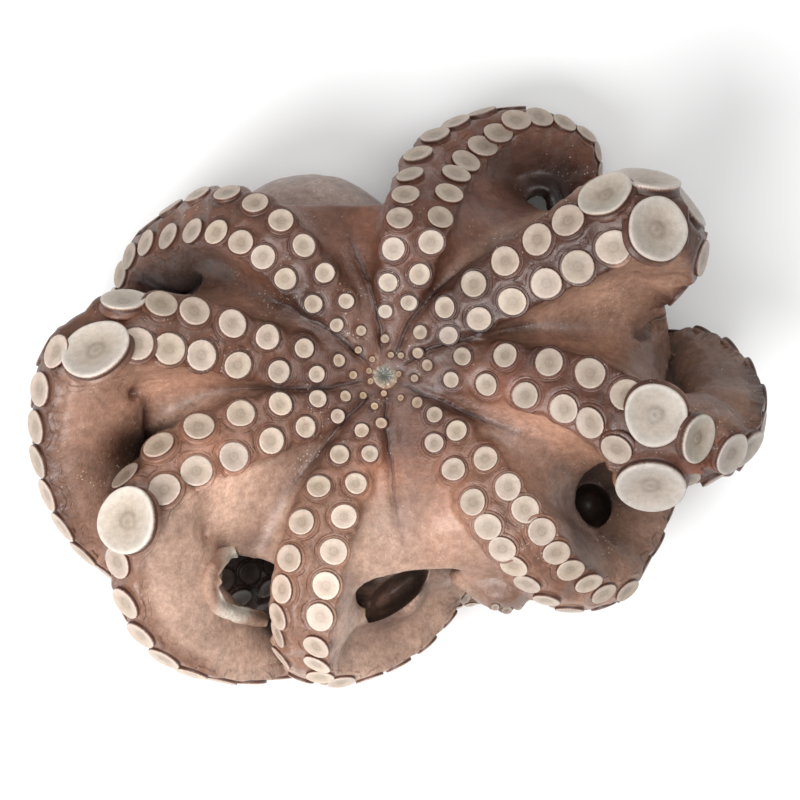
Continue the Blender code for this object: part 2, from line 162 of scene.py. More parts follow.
# Webs: the two arms, how far out the web follows each, how deep under the suckers it starts,
# and the bottom of the valley between them from the mouth outwards.
WEBS = (
    ("away", "far_left", 70, 84, 8,
     ((-5, 11, 78), (-7, 27, 77), (-11, 42, 77), (-17, 56, 75), (-22, 69, 68))),
    ("far_left", "left", 96, 90, 9,
     ((-8, 10, 78), (-17, 18, 77), (-28, 26, 77), (-42, 33, 77), (-57, 37, 72), (-72, 38, 58))),
    ("left", "near_left", 118, 104, 10,
     ((-9, 7, 78), (-21, 4, 77), (-39, 3, 77), (-57, 3, 77), (-73, -1, 75), (-86, -8, 70),
      (-93, -14, 55), (-96, -18, 38))),
    ("near_left", "near", 118, 82, 9,
     ((-7, 3, 78), (-17, -6, 77), (-26, -17, 77), (-36, -29, 77), (-47, -42, 75),
      (-56, -56, 68))),
    ("near", "near_right", 90, 106, 8,
     ((-4, 2, 78), (-4, -12, 78), (-2, -26, 80), (0, -44, 83), (6, -62, 77))),
    ("near_right", "right", 108, 106, 9,
     ((-2, 6, 78), (11, 0, 77), (25, -6, 77), (40, -12, 78), (54, -21, 73), (65, -31, 58))),
    ("right", "far_right", 100, 116, 9,
     ((-2, 9, 78), (11, 17, 77), (25, 21, 77), (43, 25, 77), (65, 26, 75), (86, 23, 66),
      (97, 20, 52))),
    ("far_right", "away", 100, 126, 9,
     ((-3, 11, 78), (4, 26, 77), (13, 37, 77), (24, 46, 75), (36, 55, 69), (46, 64, 55),
      (49, 69, 42))),
)

# Bowls: skin that hangs from the back of a curled arm down to the eye of its curl.
# The arm, from and to along it, how deep under the suckers it starts, the eye's middle and
# its half width.
BOWLS = (
    ("away", 112, 214, 0.62, (52, 71, 34), 4.5),
    ("left", 104, 224, 0.66, (-97, -19, 34), 3.5),
    ("far_left", 96, 176, 0.60, (-79, 38, 30), 5.0),
    ("near_right", 88, 186, 0.60, (70, -38, 34), 7.0),
    ("right", 118, 216, 0.60, (104, 2, 44), 6.0),
    ("near", 106, 214, 0.62, (1, -73, 60), 4.0),
)

# Hollows with a sharp edge, cut last: middle, half sizes and turn in degrees.
HOLLOWS = (
    ((-0.9, -70.6, 62), (15.6, 5.8, 24), 37.0),
    ((70.0, -40.0, 46), (7.7, 8.8, 17), 0.0),
)

# Funnels drawn down into slack skin: middle of the mouth, radius and depth.
FUNNELS = (
    ((-91, -17.5, 80), 6.0, 15.0),
)

# Folds of slack skin low under the curls: centre and half sizes.
FOLDS = (
    ((72, -35, 26), (19, 18, 15)),
    ((-4, -60, 36), (30, 17, 20)),
    ((-92, -12, 22), (15, 15, 13)),
    ((104, 6, 26), (14, 14, 13)),
    ((-74, 36, 24), (14, 12, 13)),
    ((-56, -68, 20), (13, 13, 12)),
    ((-67, -58, 14), (9, 9, 13)),
    ((-49, -80, 12), (9, 8, 12)),
    ((37, -69, 62), (12, 8, 12)),
    ((26, -64, 63), (9, 6, 9)),
)

# Head under the mouth and the mantle folded out behind it: centre and half sizes.
HEAD = ((-7, 10, 42), (31, 31, 36))
NECK = ((-15, 30, 33), (30, 30, 31))
MANTLE = ((-33, 36, 29), (42, 47, 31))




def unit(v):
    return v / np.linalg.norm(v, axis=-1, keepdims=True)


def ease(low, high, x):
    """0 below low, 1 above high, smooth between."""
    t = np.clip((x - low) / (high - low), 0.0, 1.0)
    return t * t * (3 - 2 * t)


def smooth_line(knots, step):
    """Curve through the knots with tangents weighted by the distance to each neighbour."""
    p = np.array(knots, float)
    gap = np.linalg.norm(np.diff(p[:, :3], axis=0), axis=1)
    d = np.diff(p, axis=0) / gap[:, None]
    m = np.vstack([d[:1], d])
    for i in range(1, len(p) - 1):
        m[i] = (d[i - 1] * gap[i] + d[i] * gap[i - 1]) / (gap[i] + gap[i - 1])
    rows = []
    for i, h in enumerate(gap):
        n = max(2, int(round(h / step)))
        for k in range(n):
            t = k / n
            rows.append((2 * t**3 - 3 * t**2 + 1) * p[i] + (t**3 - 2 * t**2 + t) * h * m[i]
                        + (3 * t**2 - 2 * t**3) * p[i + 1] + (t**3 - t**2) * h * m[i + 1])
    rows.append(p[-1])
    return np.array(rows)


class Arm:
    """Frames along one arm: ridge point, tangent, sucker direction and outward side."""

    def __init__(self, name, spec):
        self.name = name
        self.spec = spec
        line = smooth_line(spec["ridge"], 1.0)
        self.ridge = line[:, :3]
        walk = np.linalg.norm(np.diff(self.ridge, axis=0), axis=1)
        self.dist = 4.0 + np.concatenate([[0.0], np.cumsum(walk)])
        self.length = self.dist[-1]
        along = unit(np.gradient(self.ridge, axis=0))
        up = np.array([0.0, 0.0, 1.0])
        rise = unit(up - along * (along @ up)[:, None])
        side = np.cross(along, rise) * spec["hand"]
        roll = np.radians(line[:, 3])[:, None]
        self.roll = line[:, 3]
        self.along = along
        self.face = np.cos(roll) * rise + np.sin(roll) * side
        self.out = np.cos(roll) * side - np.sin(roll) * rise

    def at(self, values, s):
        """Values along the arm read at the distances s, one row for each."""
        s = np.atleast_1d(s)
        return np.stack([np.interp(s, self.dist, values[:, k]) for k in range(3)], axis=1)

    def size(self, name, s):
        table = self.spec[name]
        return np.interp(s, [a for a, _ in table], [b for _, b in table])

    def core(self, s, under):
        return self.at(self.ridge, s) - unit(self.at(self.face, s)) * np.atleast_1d(under)[:, None]

    def flank(self, s, under, towards):
        """Point inside the arm, a quarter of its width to the side that looks at towards."""
        base = self.core(s, under)[0]
        out = unit(self.at(self.out, s))[0]
        sign = 1.0 if out @ (towards - base) > 0 else -1.0
        return base + out * sign * self.size("wide", s) / 4

    def section(self, s, turn):
        """Point of the arm's surface: flat sucker side, rounded back."""
        half_w = self.size("wide", s) / 2
        half_d = self.size("deep", s) / 2
        c, q = np.cos(turn), np.sin(turn)
        power = np.where(q > 0, 3.0, 2.2)
        grow = (np.abs(c)**power + np.abs(q)**power)**(-1 / power)
        return (self.core(s, half_d) + unit(self.at(self.out, s)) * (half_w * c * grow)[:, None]
                + unit(self.at(self.face, s)) * (half_d * q * grow)[:, None])


def put(verts, places):
    """Set the vertices to places in millimetres of the arms' table."""
    for v, p in zip(verts, (places - CENTRE) * MM):
        v.co = p


def roll_arm(bm, arm):
    """A sheet rolled up round the arm's core, then its seam and its two ends closed."""
    rows = int(round((arm.length - 4.0) / ARM_CELL))
    sheet = bmesh.ops.create_grid(bm, x_segments=ARM_SIDES, y_segments=rows, size=1.0)["verts"]
    flat = np.array([v.co[:2] for v in sheet])
    s = 4.0 + (arm.length - 4.0) * (flat[:, 1] + 1) / 2
    put(sheet, arm.section(s, math.pi * flat[:, 0]))
    bmesh.ops.remove_doubles(bm, verts=sheet, dist=1e-7)
    rim = [e for e in bm.edges if e.is_boundary]
    bmesh.ops.holes_fill(bm, edges=rim, sides=0)


def walk_along(line):
    return np.concatenate([[0.0], np.cumsum(np.linalg.norm(np.diff(line, axis=0), axis=1))])


def hang_sheet(bm, middle, thick):
    """Two faces of a sheet laid each side of a grid of middle points, bridged round the rim."""
    along, across = np.gradient(middle, axis=0), np.gradient(middle, axis=1)
    normal = unit(np.cross(along, across) + 1e-9)
    rows, cols = middle.shape[0] - 1, middle.shape[1] - 1
    rim = []
    for side in (0.5, -0.5):
        face = bmesh.ops.create_grid(bm, x_segments=cols, y_segments=rows, size=1.0)["verts"]
        spots = [(round((v.co.y + 1) / 2 * rows), round((v.co.x + 1) / 2 * cols)) for v in face]
        put(face, np.array([middle[i] + normal[i] * thick * side for i in spots]))
        rim += [e for e in {e for v in face for e in v.link_edges} if e.is_boundary]
    bmesh.ops.bridge_loops(bm, edges=rim)


def hang_web(bm, arms, web, rows=22, cols=14):
    """Sheet from arm to arm, sagging through the valley line."""
    one, two, far_one, far_two, under, valley = web
    low = smooth_line(valley, 1.0)
    walk = walk_along(low)
    t = np.linspace(0, 1, cols + 1)[:, None]
    middle = []
    for u in np.linspace(0, 1, rows + 1):
        mid = np.array([np.interp(u * walk[-1], walk, low[:, i]) for i in range(3)])
        p = arms[one].flank(6 + (far_one - 6) * u, under * (0.6 + 0.4 * u), mid)
        q = arms[two].flank(6 + (far_two - 6) * u, under * (0.6 + 0.4 * u), mid)
        pull = 2 * mid - (p + q) / 2
        middle.append((1 - t)**2 * p + 2 * t * (1 - t) * pull + t**2 * q)
    hang_sheet(bm, np.array(middle), WEB_THICK)


def egg(bm, centre, half):
    place = (np.array(centre) - CENTRE) * MM
    size = Matrix.Diagonal(Vector(half) * MM).to_4x4()
    bmesh.ops.create_icosphere(bm, subdivisions=4, radius=1.0,
                               matrix=Matrix.Translation(place) @ size)


def new_piece(name, bm):
    mesh = bpy.data.meshes.new(name)
    bm.to_mesh(mesh)
    bm.free()
    piece = bpy.data.objects.new(name, mesh)
    bpy.context.scene.collection.objects.link(piece)
    return piece


def settle(piece):
    """Replace the piece's mesh with the one its modifiers make."""
    graph = bpy.context.evaluated_depsgraph_get()
    mesh = bpy.data.meshes.new_from_object(piece.evaluated_get(graph))
    piece.modifiers.clear()
    piece.data = mesh


def keep_outer(piece):
    """Drop everything but the largest closed skin, so nothing is sealed inside."""
    bm = bmesh.new()
    bm.from_mesh(piece.data)
    left = set(bm.verts)
    parts = []
    while left:
        seed = left.pop()
        part = [seed]
        stack = [seed]
        while stack:
            for edge in stack.pop().link_edges:
                for v in edge.verts:
                    if v in left:
                        left.discard(v)
                        part.append(v)
                        stack.append(v)
        parts.append(part)
    parts.sort(key=len)
    for part in parts[:-1]:
        bmesh.ops.delete(bm, geom=part, context="VERTS")
    bm.to_mesh(piece.data)
    bm.free()


def points_of(mesh):
    """The mesh's points in millimetres of the arms' table."""
    co = np.empty(len(mesh.vertices) * 3, np.float32)
    mesh.vertices.foreach_get("co", co)
    return co.reshape(-1, 3).astype(float) / MM + CENTRE


def set_points(mesh, places):
    mesh.vertices.foreach_set("co", ((places - CENTRE) * MM).astype(np.float32).ravel())
    mesh.update()


def hang_bowl(bm, arm, bowl, rows=30, cols=8):
    """Sheet from the top of the arm's back edge, level at first and steep at the eye."""
    _, begin, end, depth, eye, half = bowl
    eye = np.array(eye, float)
    t = np.linspace(0, 1, cols + 1)[:, None]
    middle = []
    for s in np.linspace(begin, end, rows + 1):
        back = arm.core(s, arm.size("deep", s) * depth)[0]
        out = unit(arm.at(arm.out, s))[0]
        rim = back + out * np.copysign(arm.size("wide", s) * 0.27, out[2])
        way = unit((rim - eye)[:2])
        lip = eye + np.array([way[0] * half, way[1] * half, 0.0])
        fall = np.array([lip[0], lip[1], max(lip[2], rim[2] - 3.0)])
        middle.append((1 - t)**2 * rim + 2 * t * (1 - t) * fall + t**2 * lip)
    hang_sheet(bm, np.array(middle), WEB_THICK)


arms = {name: Arm(name, spec) for name, spec in ARMS.items()}
flesh = bmesh.new()
for bowl in BOWLS:
    hang_bowl(flesh, arms[bowl[0]], bowl)
for arm in arms.values():
    roll_arm(flesh, arm)
for web in WEBS:
    hang_web(flesh, arms, web)
for centre, half in (HEAD, NECK, MANTLE) + FOLDS:
    egg(flesh, centre, half)
bmesh.ops.recalc_face_normals(flesh, faces=flesh.faces)
skin = new_piece("skin", flesh)
wrap = skin.modifiers.new("wrap", "REMESH")
wrap.mode = "VOXEL"
wrap.voxel_size = SKIN_CELL * MM
settle(skin)
keep_outer(skin)


class Lay:
    """Which arm each point belongs to, how far out along it, how far beside and below its ridge."""

    def __init__(self, points):
        every = 2
        core, size, names = [], [], []
        for index, arm in enumerate(arms.values()):
            s = arm.dist[::every]
            half_d = arm.size("deep", s) / 2
            core.append(arm.core(s, half_d))
            size.append((arm.size("wide", s) / 2 + half_d) / 2)
            names += [(index, k * every) for k in range(len(s))]
        core, size, names = np.vstack(core), np.concatenate(size), np.array(names)
        starts = [int(np.argmax(names[:, 0] == index)) for index in range(len(arms))]
        best = np.empty(len(points), int)
        self.each = np.empty((len(points), len(arms)))       # distance to every arm's core
        for k in range(0, len(points), 8000):
            p = points[k:k + 8000]
            far = (p**2).sum(1)[:, None] + (core**2).sum(1) - 2 * p @ core.T
            far = np.sqrt(np.maximum(far, 0)) / size
            best[k:k + 8000] = far.argmin(axis=1)
            self.each[k:k + 8000] = np.minimum.reduceat(far, starts, axis=1)
        self.arm, row = names[best].T
        self.ratio = self.each.min(axis=1)
        self.s = np.empty(len(points))
        self.beside = np.empty(len(points))
        self.below = np.empty(len(points))
        self.half = np.empty(len(points))
        for index, arm in enumerate(arms.values()):
            mine = self.arm == index
            k = row[mine]
            rel = points[mine] - arm.ridge[k]
            self.s[mine] = arm.dist[k]
            self.beside[mine] = (rel * arm.out[k]).sum(1)
            self.below[mine] = -(rel * arm.face[k]).sum(1)
            self.half[mine] = arm.size("wide", arm.dist[k]) / 2


def relax(mesh, weight, rounds):
    """Pull each point towards the mean of its neighbours, by its weight."""
    places = points_of(mesh)
    pairs = np.empty(len(mesh.edges) * 2, np.int32)
    mesh.edges.foreach_get("vertices", pairs)
    a, b = pairs[0::2], pairs[1::2]
    ends = np.concatenate([a, b])
    others = np.concatenate([b, a])
    count = np.bincount(ends, minlength=len(places))
    for _ in range(rounds):
        mean = np.stack([np.bincount(ends, weights=places[others, k], minlength=len(places))
                         for k in range(3)], axis=1) / count[:, None]
        places = places + (mean - places) * weight[:, None]
    set_points(mesh, places)


skin_points = points_of(skin.data)
lay = Lay(skin_points)
WEB_REACH = {"away": 106, "far_right": 116, "right": 108, "near_right": 108, "near": 90,
             "near_left": 118, "left": 118, "far_left": 96}
reach = np.array([WEB_REACH[name] for name in arms])[lay.arm]
joined = 1 - ease(reach + 5, reach + 35, lay.s)          # 1 where webs tie the arms together
slack = ease(2.0, 9.0, lay.below)                        # 0 on the sucker side
middle = 1 - ease(24, 62, lay.s)                         # 1 round the mouth
calm = 0.08 + 0.10 * (1 - slack) + 0.48 * np.maximum(slack * joined, middle)
relax(skin.data, calm, 22)

# Suckers sit in two rows on each arm, and the skin lies flat round each of them.
SUCKER_SPAN = 1.04      # disc edge against the full radius
INNER_STEP = 5.4        # from one side to the other where the rows begin
GROWTH = {"near": 28.0, "near_right": 24.0}     # how soon the suckers reach their full size


def cup_radius(arm, s):
    """Suckers grow quickly out from the mouth and dwindle towards the tip."""
    grown = 1 - math.exp(-(s - 2) / GROWTH.get(arm.name, 36.0))
    return max(1.1, arm.spec["disc"] * grown * min(1.0, 0.25 + 0.75 * (arm.length - s) / 90))


def sucker_spots(arm):
    """Distance, side offset, radius, lean and nod of each sucker, in two alternating rows."""
    spec = arm.spec
    spots = []
    for row, side in enumerate((1, -1)):
        start = min(spec["first"])
        walks = [(start - k * INNER_STEP, -1) for k in range(1, 5)
                 if (k % 2 == 1) == (spec["first"][row] > start)]
        s = spec["first"][row]
        number = 0
        while s < arm.length - 8:
            walks.append((s, number))
            s += float(np.interp(s, PITCH_AT, spec["pitch"])) * min(
                1.0, 0.3 + 0.7 * (arm.length - s) / 80)
            number += 1
        for s, number in walks:
            if s < 3.5 or (row, number) in spec["skip"]:
                continue
            nod = shift = 0.0
            radius = cup_radius(arm, s)
            rolled = float(ease(60, 88, np.interp(s, arm.dist, arm.roll)))
            lean = LEAN[row] * min(1.0, max(0.25, (s - 30) / 60)) * (1 - rolled)
            if row == 1:
                turned = np.interp(s, arm.dist, arm.roll)
                lean -= 9.0 * float(ease(42, 66, turned) * (1 - ease(80, 90, turned)))
            for big_row, big_number, big_radius, big_lean, big_nod, big_shift in spec["big"]:
                if (row, number) == (big_row, big_number):
                    radius, nod, shift = big_radius, big_nod, big_shift
                    lean = side * big_lean
            offset = 8.6 * (1 - math.exp(-max(s - 4, 0) / 36)) * min(1.0, (arm.length - s) / 70)
            offset = min(offset, arm.size("wide", s) / 2 - 3) + max(0.0, radius - 7) * 0.4
            offset = max(offset, radius * 0.9) * (1 - 0.12 * rolled)
            if row == 1:
                offset *= 1 - 0.40 * float(ease(36, 62, np.interp(s, arm.dist, arm.roll)))
            spots.append((s, side * (offset + shift), radius, math.radians(lean),
                          math.radians(nod)))
    return spots


class Sucker:
    """Seat and frame of one sucker."""

    def __init__(self, arm, s, offset, radius, lean, nod):
        up = unit(arm.at(arm.face, s))[0]
        ahead = unit(arm.at(arm.along, s))[0]
        self.face = up * math.cos(nod) + ahead * math.sin(nod)
        self.along = ahead * math.cos(nod) - up * math.sin(nod)
        self.out = unit(arm.at(arm.out, s))[0]
        self.centre = arm.at(arm.ridge, s)[0] + self.out * offset - self.face * abs(offset) * 0.12
        self.radius = radius
        self.lean = lean
        self.s = s
        self.arm = arm


LEAN = (28.0, -6.0)
rows_of = {name: [Sucker(arm, *spot) for spot in sucker_spots(arm)]
           for name, arm in arms.items()}
# a few stunted suckers on the lip of skin beside the near right arm: place and radius
STRAY = (((34.5, -74.5, 68), 1.6), ((39, -77.5, 66), 2.0), ((43.5, -79, 66), 1.6))
for place, radius in STRAY:
    cup = Sucker(arms["near_right"], 90, 0.0, radius, 0.0, 0.0)
    cup.centre = np.array(place)
    rows_of["near_right"].append(cup)


def find_seats(piece):
    """Move each sucker along its own direction onto the skin."""
    piece.data.update()
    bpy.context.view_layer.update()
    for row in rows_of.values():
        for cup in row:
            start = Vector((cup.centre + cup.face * 7 - CENTRE) * MM)
            hit, place, _, _ = piece.ray_cast(start, Vector(-cup.face), distance=14 * MM)
            if hit:
                lift = cup.radius * max(0.0, -math.sin(cup.lean)) * 0.6
                lift += 1.2 if cup.radius > 10 else 0.0
                cup.centre = np.array(place) / MM + CENTRE + cup.face * lift


def seat_suckers(mesh):
    """Flatten the skin under each sucker to its seat, fading out past its rim."""
    places = points_of(mesh)
    cups = [cup for row in rows_of.values() for cup in row]
    cups.sort(key=lambda cup: cup.radius)
    for last in (False, True):
        for cup in cups:
            rel = places - cup.centre
            tilt = cup.lean * SEAT_LEAN
            face = cup.face * math.cos(tilt) + cup.out * math.sin(tilt)
            high = rel @ face
            far = np.linalg.norm(rel - high[:, None] * face, axis=1) / cup.radius
            near = (far < 1.9) & (np.abs(high) < 5.0)
            if last:
                near &= (high > -0.5) & (far < 1.04)
                places[near] -= (high[near] + 0.5)[:, None] * face
                continue
            target = -0.60 + 0.45 * np.exp(-((far[near] - 1.5) / 0.18)**2)
            gap = target - high[near]
            pull = (1 - ease(1.1, 1.9, far[near])) * np.where(gap > 0, 0.75, 0.95)
            places[near] += (gap * pull)[:, None] * face
    set_points(mesh, places)


SEAT_LEAN = 0.85        # the skin leans nearly as far as the sucker on it
find_seats(skin)
seat_suckers(skin.data)


valley_lines = [smooth_line(web[5], 1.5) for web in WEBS]


def crease_of(places):
    """Distance beside the nearest valley between two arms, with the sign changing at each
    valley and nowhere else, so that it can be read between points."""
    best = np.full(len(places), 99.0)
    for index, line in enumerate(valley_lines):
        apart = places[:, None, :2] - line[None, :, :2]
        nearest = (apart**2).sum(2).argmin(axis=1)
        way = np.gradient(line[:, :2], axis=0)
        way /= np.linalg.norm(way, axis=1)[:, None]
        gap = apart[np.arange(len(places)), nearest]
        beside = way[nearest, 0] * gap[:, 1] - way[nearest, 1] * gap[:, 0]
        along = np.abs((way[nearest] * gap).sum(1))
        beside = np.copysign(np.hypot(beside, along * (along > 1.5)), beside)
        beside = np.where(np.abs(places[:, 2] - line[nearest, 2]) < 25, beside, 99.0)
        closer = np.abs(beside) < np.abs(best)
        best[closer] = beside[closer] * (1 if index % 2 else -1)
    return best


def ripple(mesh):
    """Slack skin: low broad waves, and a crease with raised lips down each valley."""
    places = points_of(mesh)
    mesh.update()
    normals = np.empty(len(places) * 3, np.float32)
    mesh.vertices.foreach_get("normal", normals)
    normals = normals.reshape(-1, 3)
    wave = np.array([noise.noise(Vector(p) / 13.0) * 0.55 + noise.noise(Vector(p) / 5.0) * 0.22
                     for p in places])
    wave *= 0.25 + 0.75 * slack
    beside = np.abs(crease_of(places)) + 0.5 * np.array([noise.noise(Vector(p) / 6) for p in places])
    from_mouth = np.linalg.norm(places - np.array(MOUTH), axis=1)
    folded = ease(6, 14, from_mouth) * (1 - ease(32, 62, from_mouth)) * ease(0.2, 0.8, normals[:, 2])
    fold = 0.35 * np.exp(-((beside - 3.4) / 1.3)**2) - 1.0 * np.exp(-(beside / 1.3)**2)
    set_points(mesh, places + normals * (wave + fold * folded)[:, None])


def draw_down(mesh):
    """Sink the slack skin into each funnel, leaving the sucker sides of the arms alone."""
    places = points_of(mesh)
    for middle, radius, depth in FUNNELS:
        apart = np.linalg.norm(places[:, :2] - np.array(middle[:2]), axis=1) / radius
        level = 1 - ease(14, 24, np.abs(places[:, 2] - middle[2]))
        places[:, 2] -= depth * np.exp(-apart**2) * level * ease(3, 10, lay.below)
    set_points(mesh, places)


def hollow_out(piece):
    cutter = bmesh.new()
    for middle, half, turn in HOLLOWS:
        before = len(cutter.verts)
        egg(cutter, middle, half)
        cutter.verts.ensure_lookup_table()
        bmesh.ops.rotate(cutter, verts=cutter.verts[before:],
                         cent=Vector((np.array(middle) - CENTRE) * MM),
                         matrix=Matrix.Rotation(math.radians(turn), 3, "Z"))
    cutter = new_piece("cutter", cutter)
    cut = piece.modifiers.new("cut", "BOOLEAN")
    cut.operation = "DIFFERENCE"
    cut.solver = "EXACT"
    cut.object = cutter
    settle(piece)
    bpy.data.objects.remove(cutter)


seat_suckers(skin.data)
ripple(skin.data)
draw_down(skin.data)
thin = skin.modifiers.new("thin", "DECIMATE")
thin.ratio = min(1.0, SKIN_TRIANGLES / (2 * len(skin.data.polygons)))
thin.use_collapse_triangulate = True
settle(skin)
hollow_out(skin)
# what lies on the floor is flattened by its own weight
places = points_of(skin.data)
places[:, 2] = np.where(places[:, 2] < 1.5, 0.3 + np.maximum(places[:, 2], 0) * 0.8, places[:, 2])
set_points(skin.data, places)


def linear(r, g, b):
    """A paint colour, 0 to 255, in the renderer's linear numbers."""
    c = np.array([r, g, b]) / 255.0
    return np.where(c <= 0.04045, c / 12.92, ((c + 0.055) / 1.055)**2.4)


MIDDLE = linear(106, 72, 57)        # round the mouth
# painted shade: the colour the skin is painted where it is shut in deep inside the curls
HOLLOW_SHADE = linear(30, 18, 14)           # inside the curls
MANTLE_GREY = linear(168, 151, 142)
ARM_SKIN = {                        # between the suckers, and on the sides and webs
    "away": (linear(98, 63, 49), linear(109, 72, 56)),
    "far_right": (linear(81, 51, 39), linear(149, 116, 98)),
    "right": (linear(83, 52, 40), linear(140, 106, 88)),
    "near_right": (linear(124, 89, 72), linear(152, 121, 104)),
    "near": (linear(138, 102, 83), linear(177, 148, 131)),
    "near_left": (linear(124, 89, 72), linear(176, 147, 130)),
    "left": (linear(99, 66, 50), linear(151, 116, 98)),
    "far_left": (linear(92, 60, 46), linear(115, 80, 64))}
DISC_TONE = {                       # the suckers are greyer and duller on some arms
    "away": 0.68, "far_right": 0.66, "right": 0.60, "near_right": 0.72,
    "near": 0.92, "near_left": 0.88, "left": 0.82, "far_left": 0.78}
# Uneven colour, partly the skin's own darker and paler patches and partly painted light: painted shade
# in the pits, holes and curls, and painted sheen in a few hollows and beside the great suckers.
# Middle and radius of each darker or paler field, and what it does.
TONE_AND_SHADE_FIELDS = (
    ((74, 44, 80), 24, (1.25, 1.30, 1.35)),
    ((98, 28, 58), 12, (1.25, 1.25, 1.25)),
    ((50, -8, 92), 20, (2.10, 2.20, 2.30)),
    ((36, 3, 91), 12, (1.80, 1.80, 1.80)),
    ((-98, -20, 82), 17, (0.36, 0.31, 0.28)),
    ((-104, -32, 84), 22, (0.60, 0.55, 0.52)),
    ((-48, 5, 80), 12, (1.35, 1.35, 1.35)),
    ((75, -53, 52), 22, (0.48, 0.42, 0.38)),
    ((63, -50, 74), 16, (0.32, 0.28, 0.26)),
    ((80, -38, 42), 12, (0.45, 0.42, 0.40)),
    ((49, -64, 84), 11, (1.35, 1.35, 1.35)),
    ((37, -72, 66), 13, (0.52, 0.50, 0.50)),
    ((0, -82, 56), 14, (0.50, 0.45, 0.43)),
    ((-6, -80, 61), 10, (0.40, 0.34, 0.31)),
    ((8, -65, 46), 10, (0.22, 0.18, 0.16)),
    ((55, 77, 36), 22, (0.14, 0.11, 0.09)),
    ((63, 69, 30), 12, (0.45, 0.40, 0.38)),
    ((36, 88, 44), 10, (0.62, 0.58, 0.55)),
    ((-62, -24, 96), 17, (2.10, 2.10, 2.10)),
    ((-64, -50, 84), 12, (1.40, 1.40, 1.40)),
    ((-60, -8, 88), 12, (0.62, 0.58, 0.55)),
    ((-34, -24, 86), 10, (0.62, 0.56, 0.53)),
    ((14, -42, 80), 20, (1.55, 1.55, 1.55)),
    ((22, -38, 86), 10, (1.30, 1.30, 1.30)),
    ((-6, -26, 85), 11, (2.30, 2.30, 2.30)),
    ((-13, -33, 90), 9, (1.40, 1.40, 1.40)),
    ((-19, -56, 88), 9, (1.50, 1.50, 1.50)),
    ((-40, -40, 85), 13, (0.70, 0.65, 0.62)),
    ((-50, -52, 76), 9, (0.52, 0.46, 0.43)),
    ((-75, 40, 40), 24, (0.62, 0.58, 0.54)),
    ((-89, 39, 44), 12, (0.32, 0.28, 0.26)),
    ((-73, 35, 94), 8, (0.62, 0.57, 0.54)),
    ((-82, 40, 36), 10, (0.30, 0.27, 0.25)),
    ((120, -4, 70), 30, (0.52, 0.55, 0.58)),
    ((108, 12, 50), 24, (0.55, 0.58, 0.60)),
    ((103, -22, 104), 10, (2.20, 2.20, 2.20)),
    ((90, 13, 71), 11, (0.60, 0.56, 0.54)),
    ((50, 18, 96), 9, (0.66, 0.60, 0.58)),
    ((110, -2, 96), 11, (0.68, 0.66, 0.64)),
    ((-88, 6, 82), 15, (1.80, 1.80, 1.80)),
    ((-64, 6, 84), 13, (1.50, 1.45, 1.40)),
    ((-78, 38, 40), 10, (0.34, 0.32, 0.30)),
    ((-58, -68, 26), 22, (0.15, 0.09, 0.07)),
    ((-92, -19, 58), 12, (0.22, 0.19, 0.17)),
    ((-7, -69, 44), 8, (2.20, 1.90, 1.80)),
    ((71, -39, 34), 13, (0.30, 0.28, 0.27)),
    ((58, 68, 26), 16, (0.45, 0.42, 0.40)),
    ((16, 16, 84), 10, (0.58, 0.52, 0.48)),
    ((15, 1, 84), 8, (0.70, 0.65, 0.62)),
    ((3, -14, 82), 8, (0.72, 0.66, 0.63)),
    ((24, 30, 86), 15, (0.80, 0.76, 0.74)),
    ((-34, 32, 86), 13, (0.58, 0.54, 0.52)),
    ((50, 50, 84), 15, (0.75, 0.70, 0.68)),
    ((62, 50, 104), 13, (0.66, 0.62, 0.60)),
    ((76, 74, 76), 13, (0.64, 0.60, 0.58)),
    ((-7, 11, 80), 6, (1.75, 1.62, 1.42)),
)


def blend(a, b, t):
    return a + (b - a) * np.asarray(t)[:, None]


class Finder:
    """A value at any place, read from the nearest of the known points."""

    def __init__(self, points, values):
        self.tree = KDTree(len(points))
        for index, p in enumerate(points):
            self.tree.insert(p, index)
        self.tree.balance()
        self.values = values

    def at(self, places):
        return np.array([self.values[self.tree.find(p)[1]] for p in places])


def shade_of(piece):
    """How shut in each point of the skin is, 0 in the open to 1 deep in a hollow."""
    piece.data.update()
    tree = BVHTree.FromObject(piece, bpy.context.evaluated_depsgraph_get())
    spread = [Vector((math.cos(a) * math.cos(e), math.sin(a) * math.cos(e), math.sin(e)))
              for e, turns in ((0.35, 6), (0.85, 5), (1.35, 3))
              for a in [2 * math.pi * (k + 0.3) / turns for k in range(turns)]]
    shut = np.zeros(len(piece.data.vertices))
    for index, v in enumerate(piece.data.vertices):
        start = v.co + v.normal * 0.7 * MM
        aim = [d for d in spread if d.dot(v.normal) > -0.25]
        hits = sum(tree.ray_cast(start, d, 70 * MM)[0] is not None for d in aim)
        shut[index] = (hits + len(spread) - len(aim)) / len(spread)
    return shut


def tone_and_shade_of(places):
    """How much darker or paler each place is than the rest of its arm, from its own patches and from
    painted shade and sheen.
    """
    field = np.ones((len(places), 3))
    for middle, radius, change in TONE_AND_SHADE_FIELDS:
        near = np.linalg.norm(places - np.array(middle), axis=1) / radius
        field *= 1 + (np.array(change) - 1) * np.exp(-near**2 * 1.5)[:, None]
    return field


OPEN_FOLD = ((99, 27, 52), 20)      # middle and radius of a fold that lies open to the light


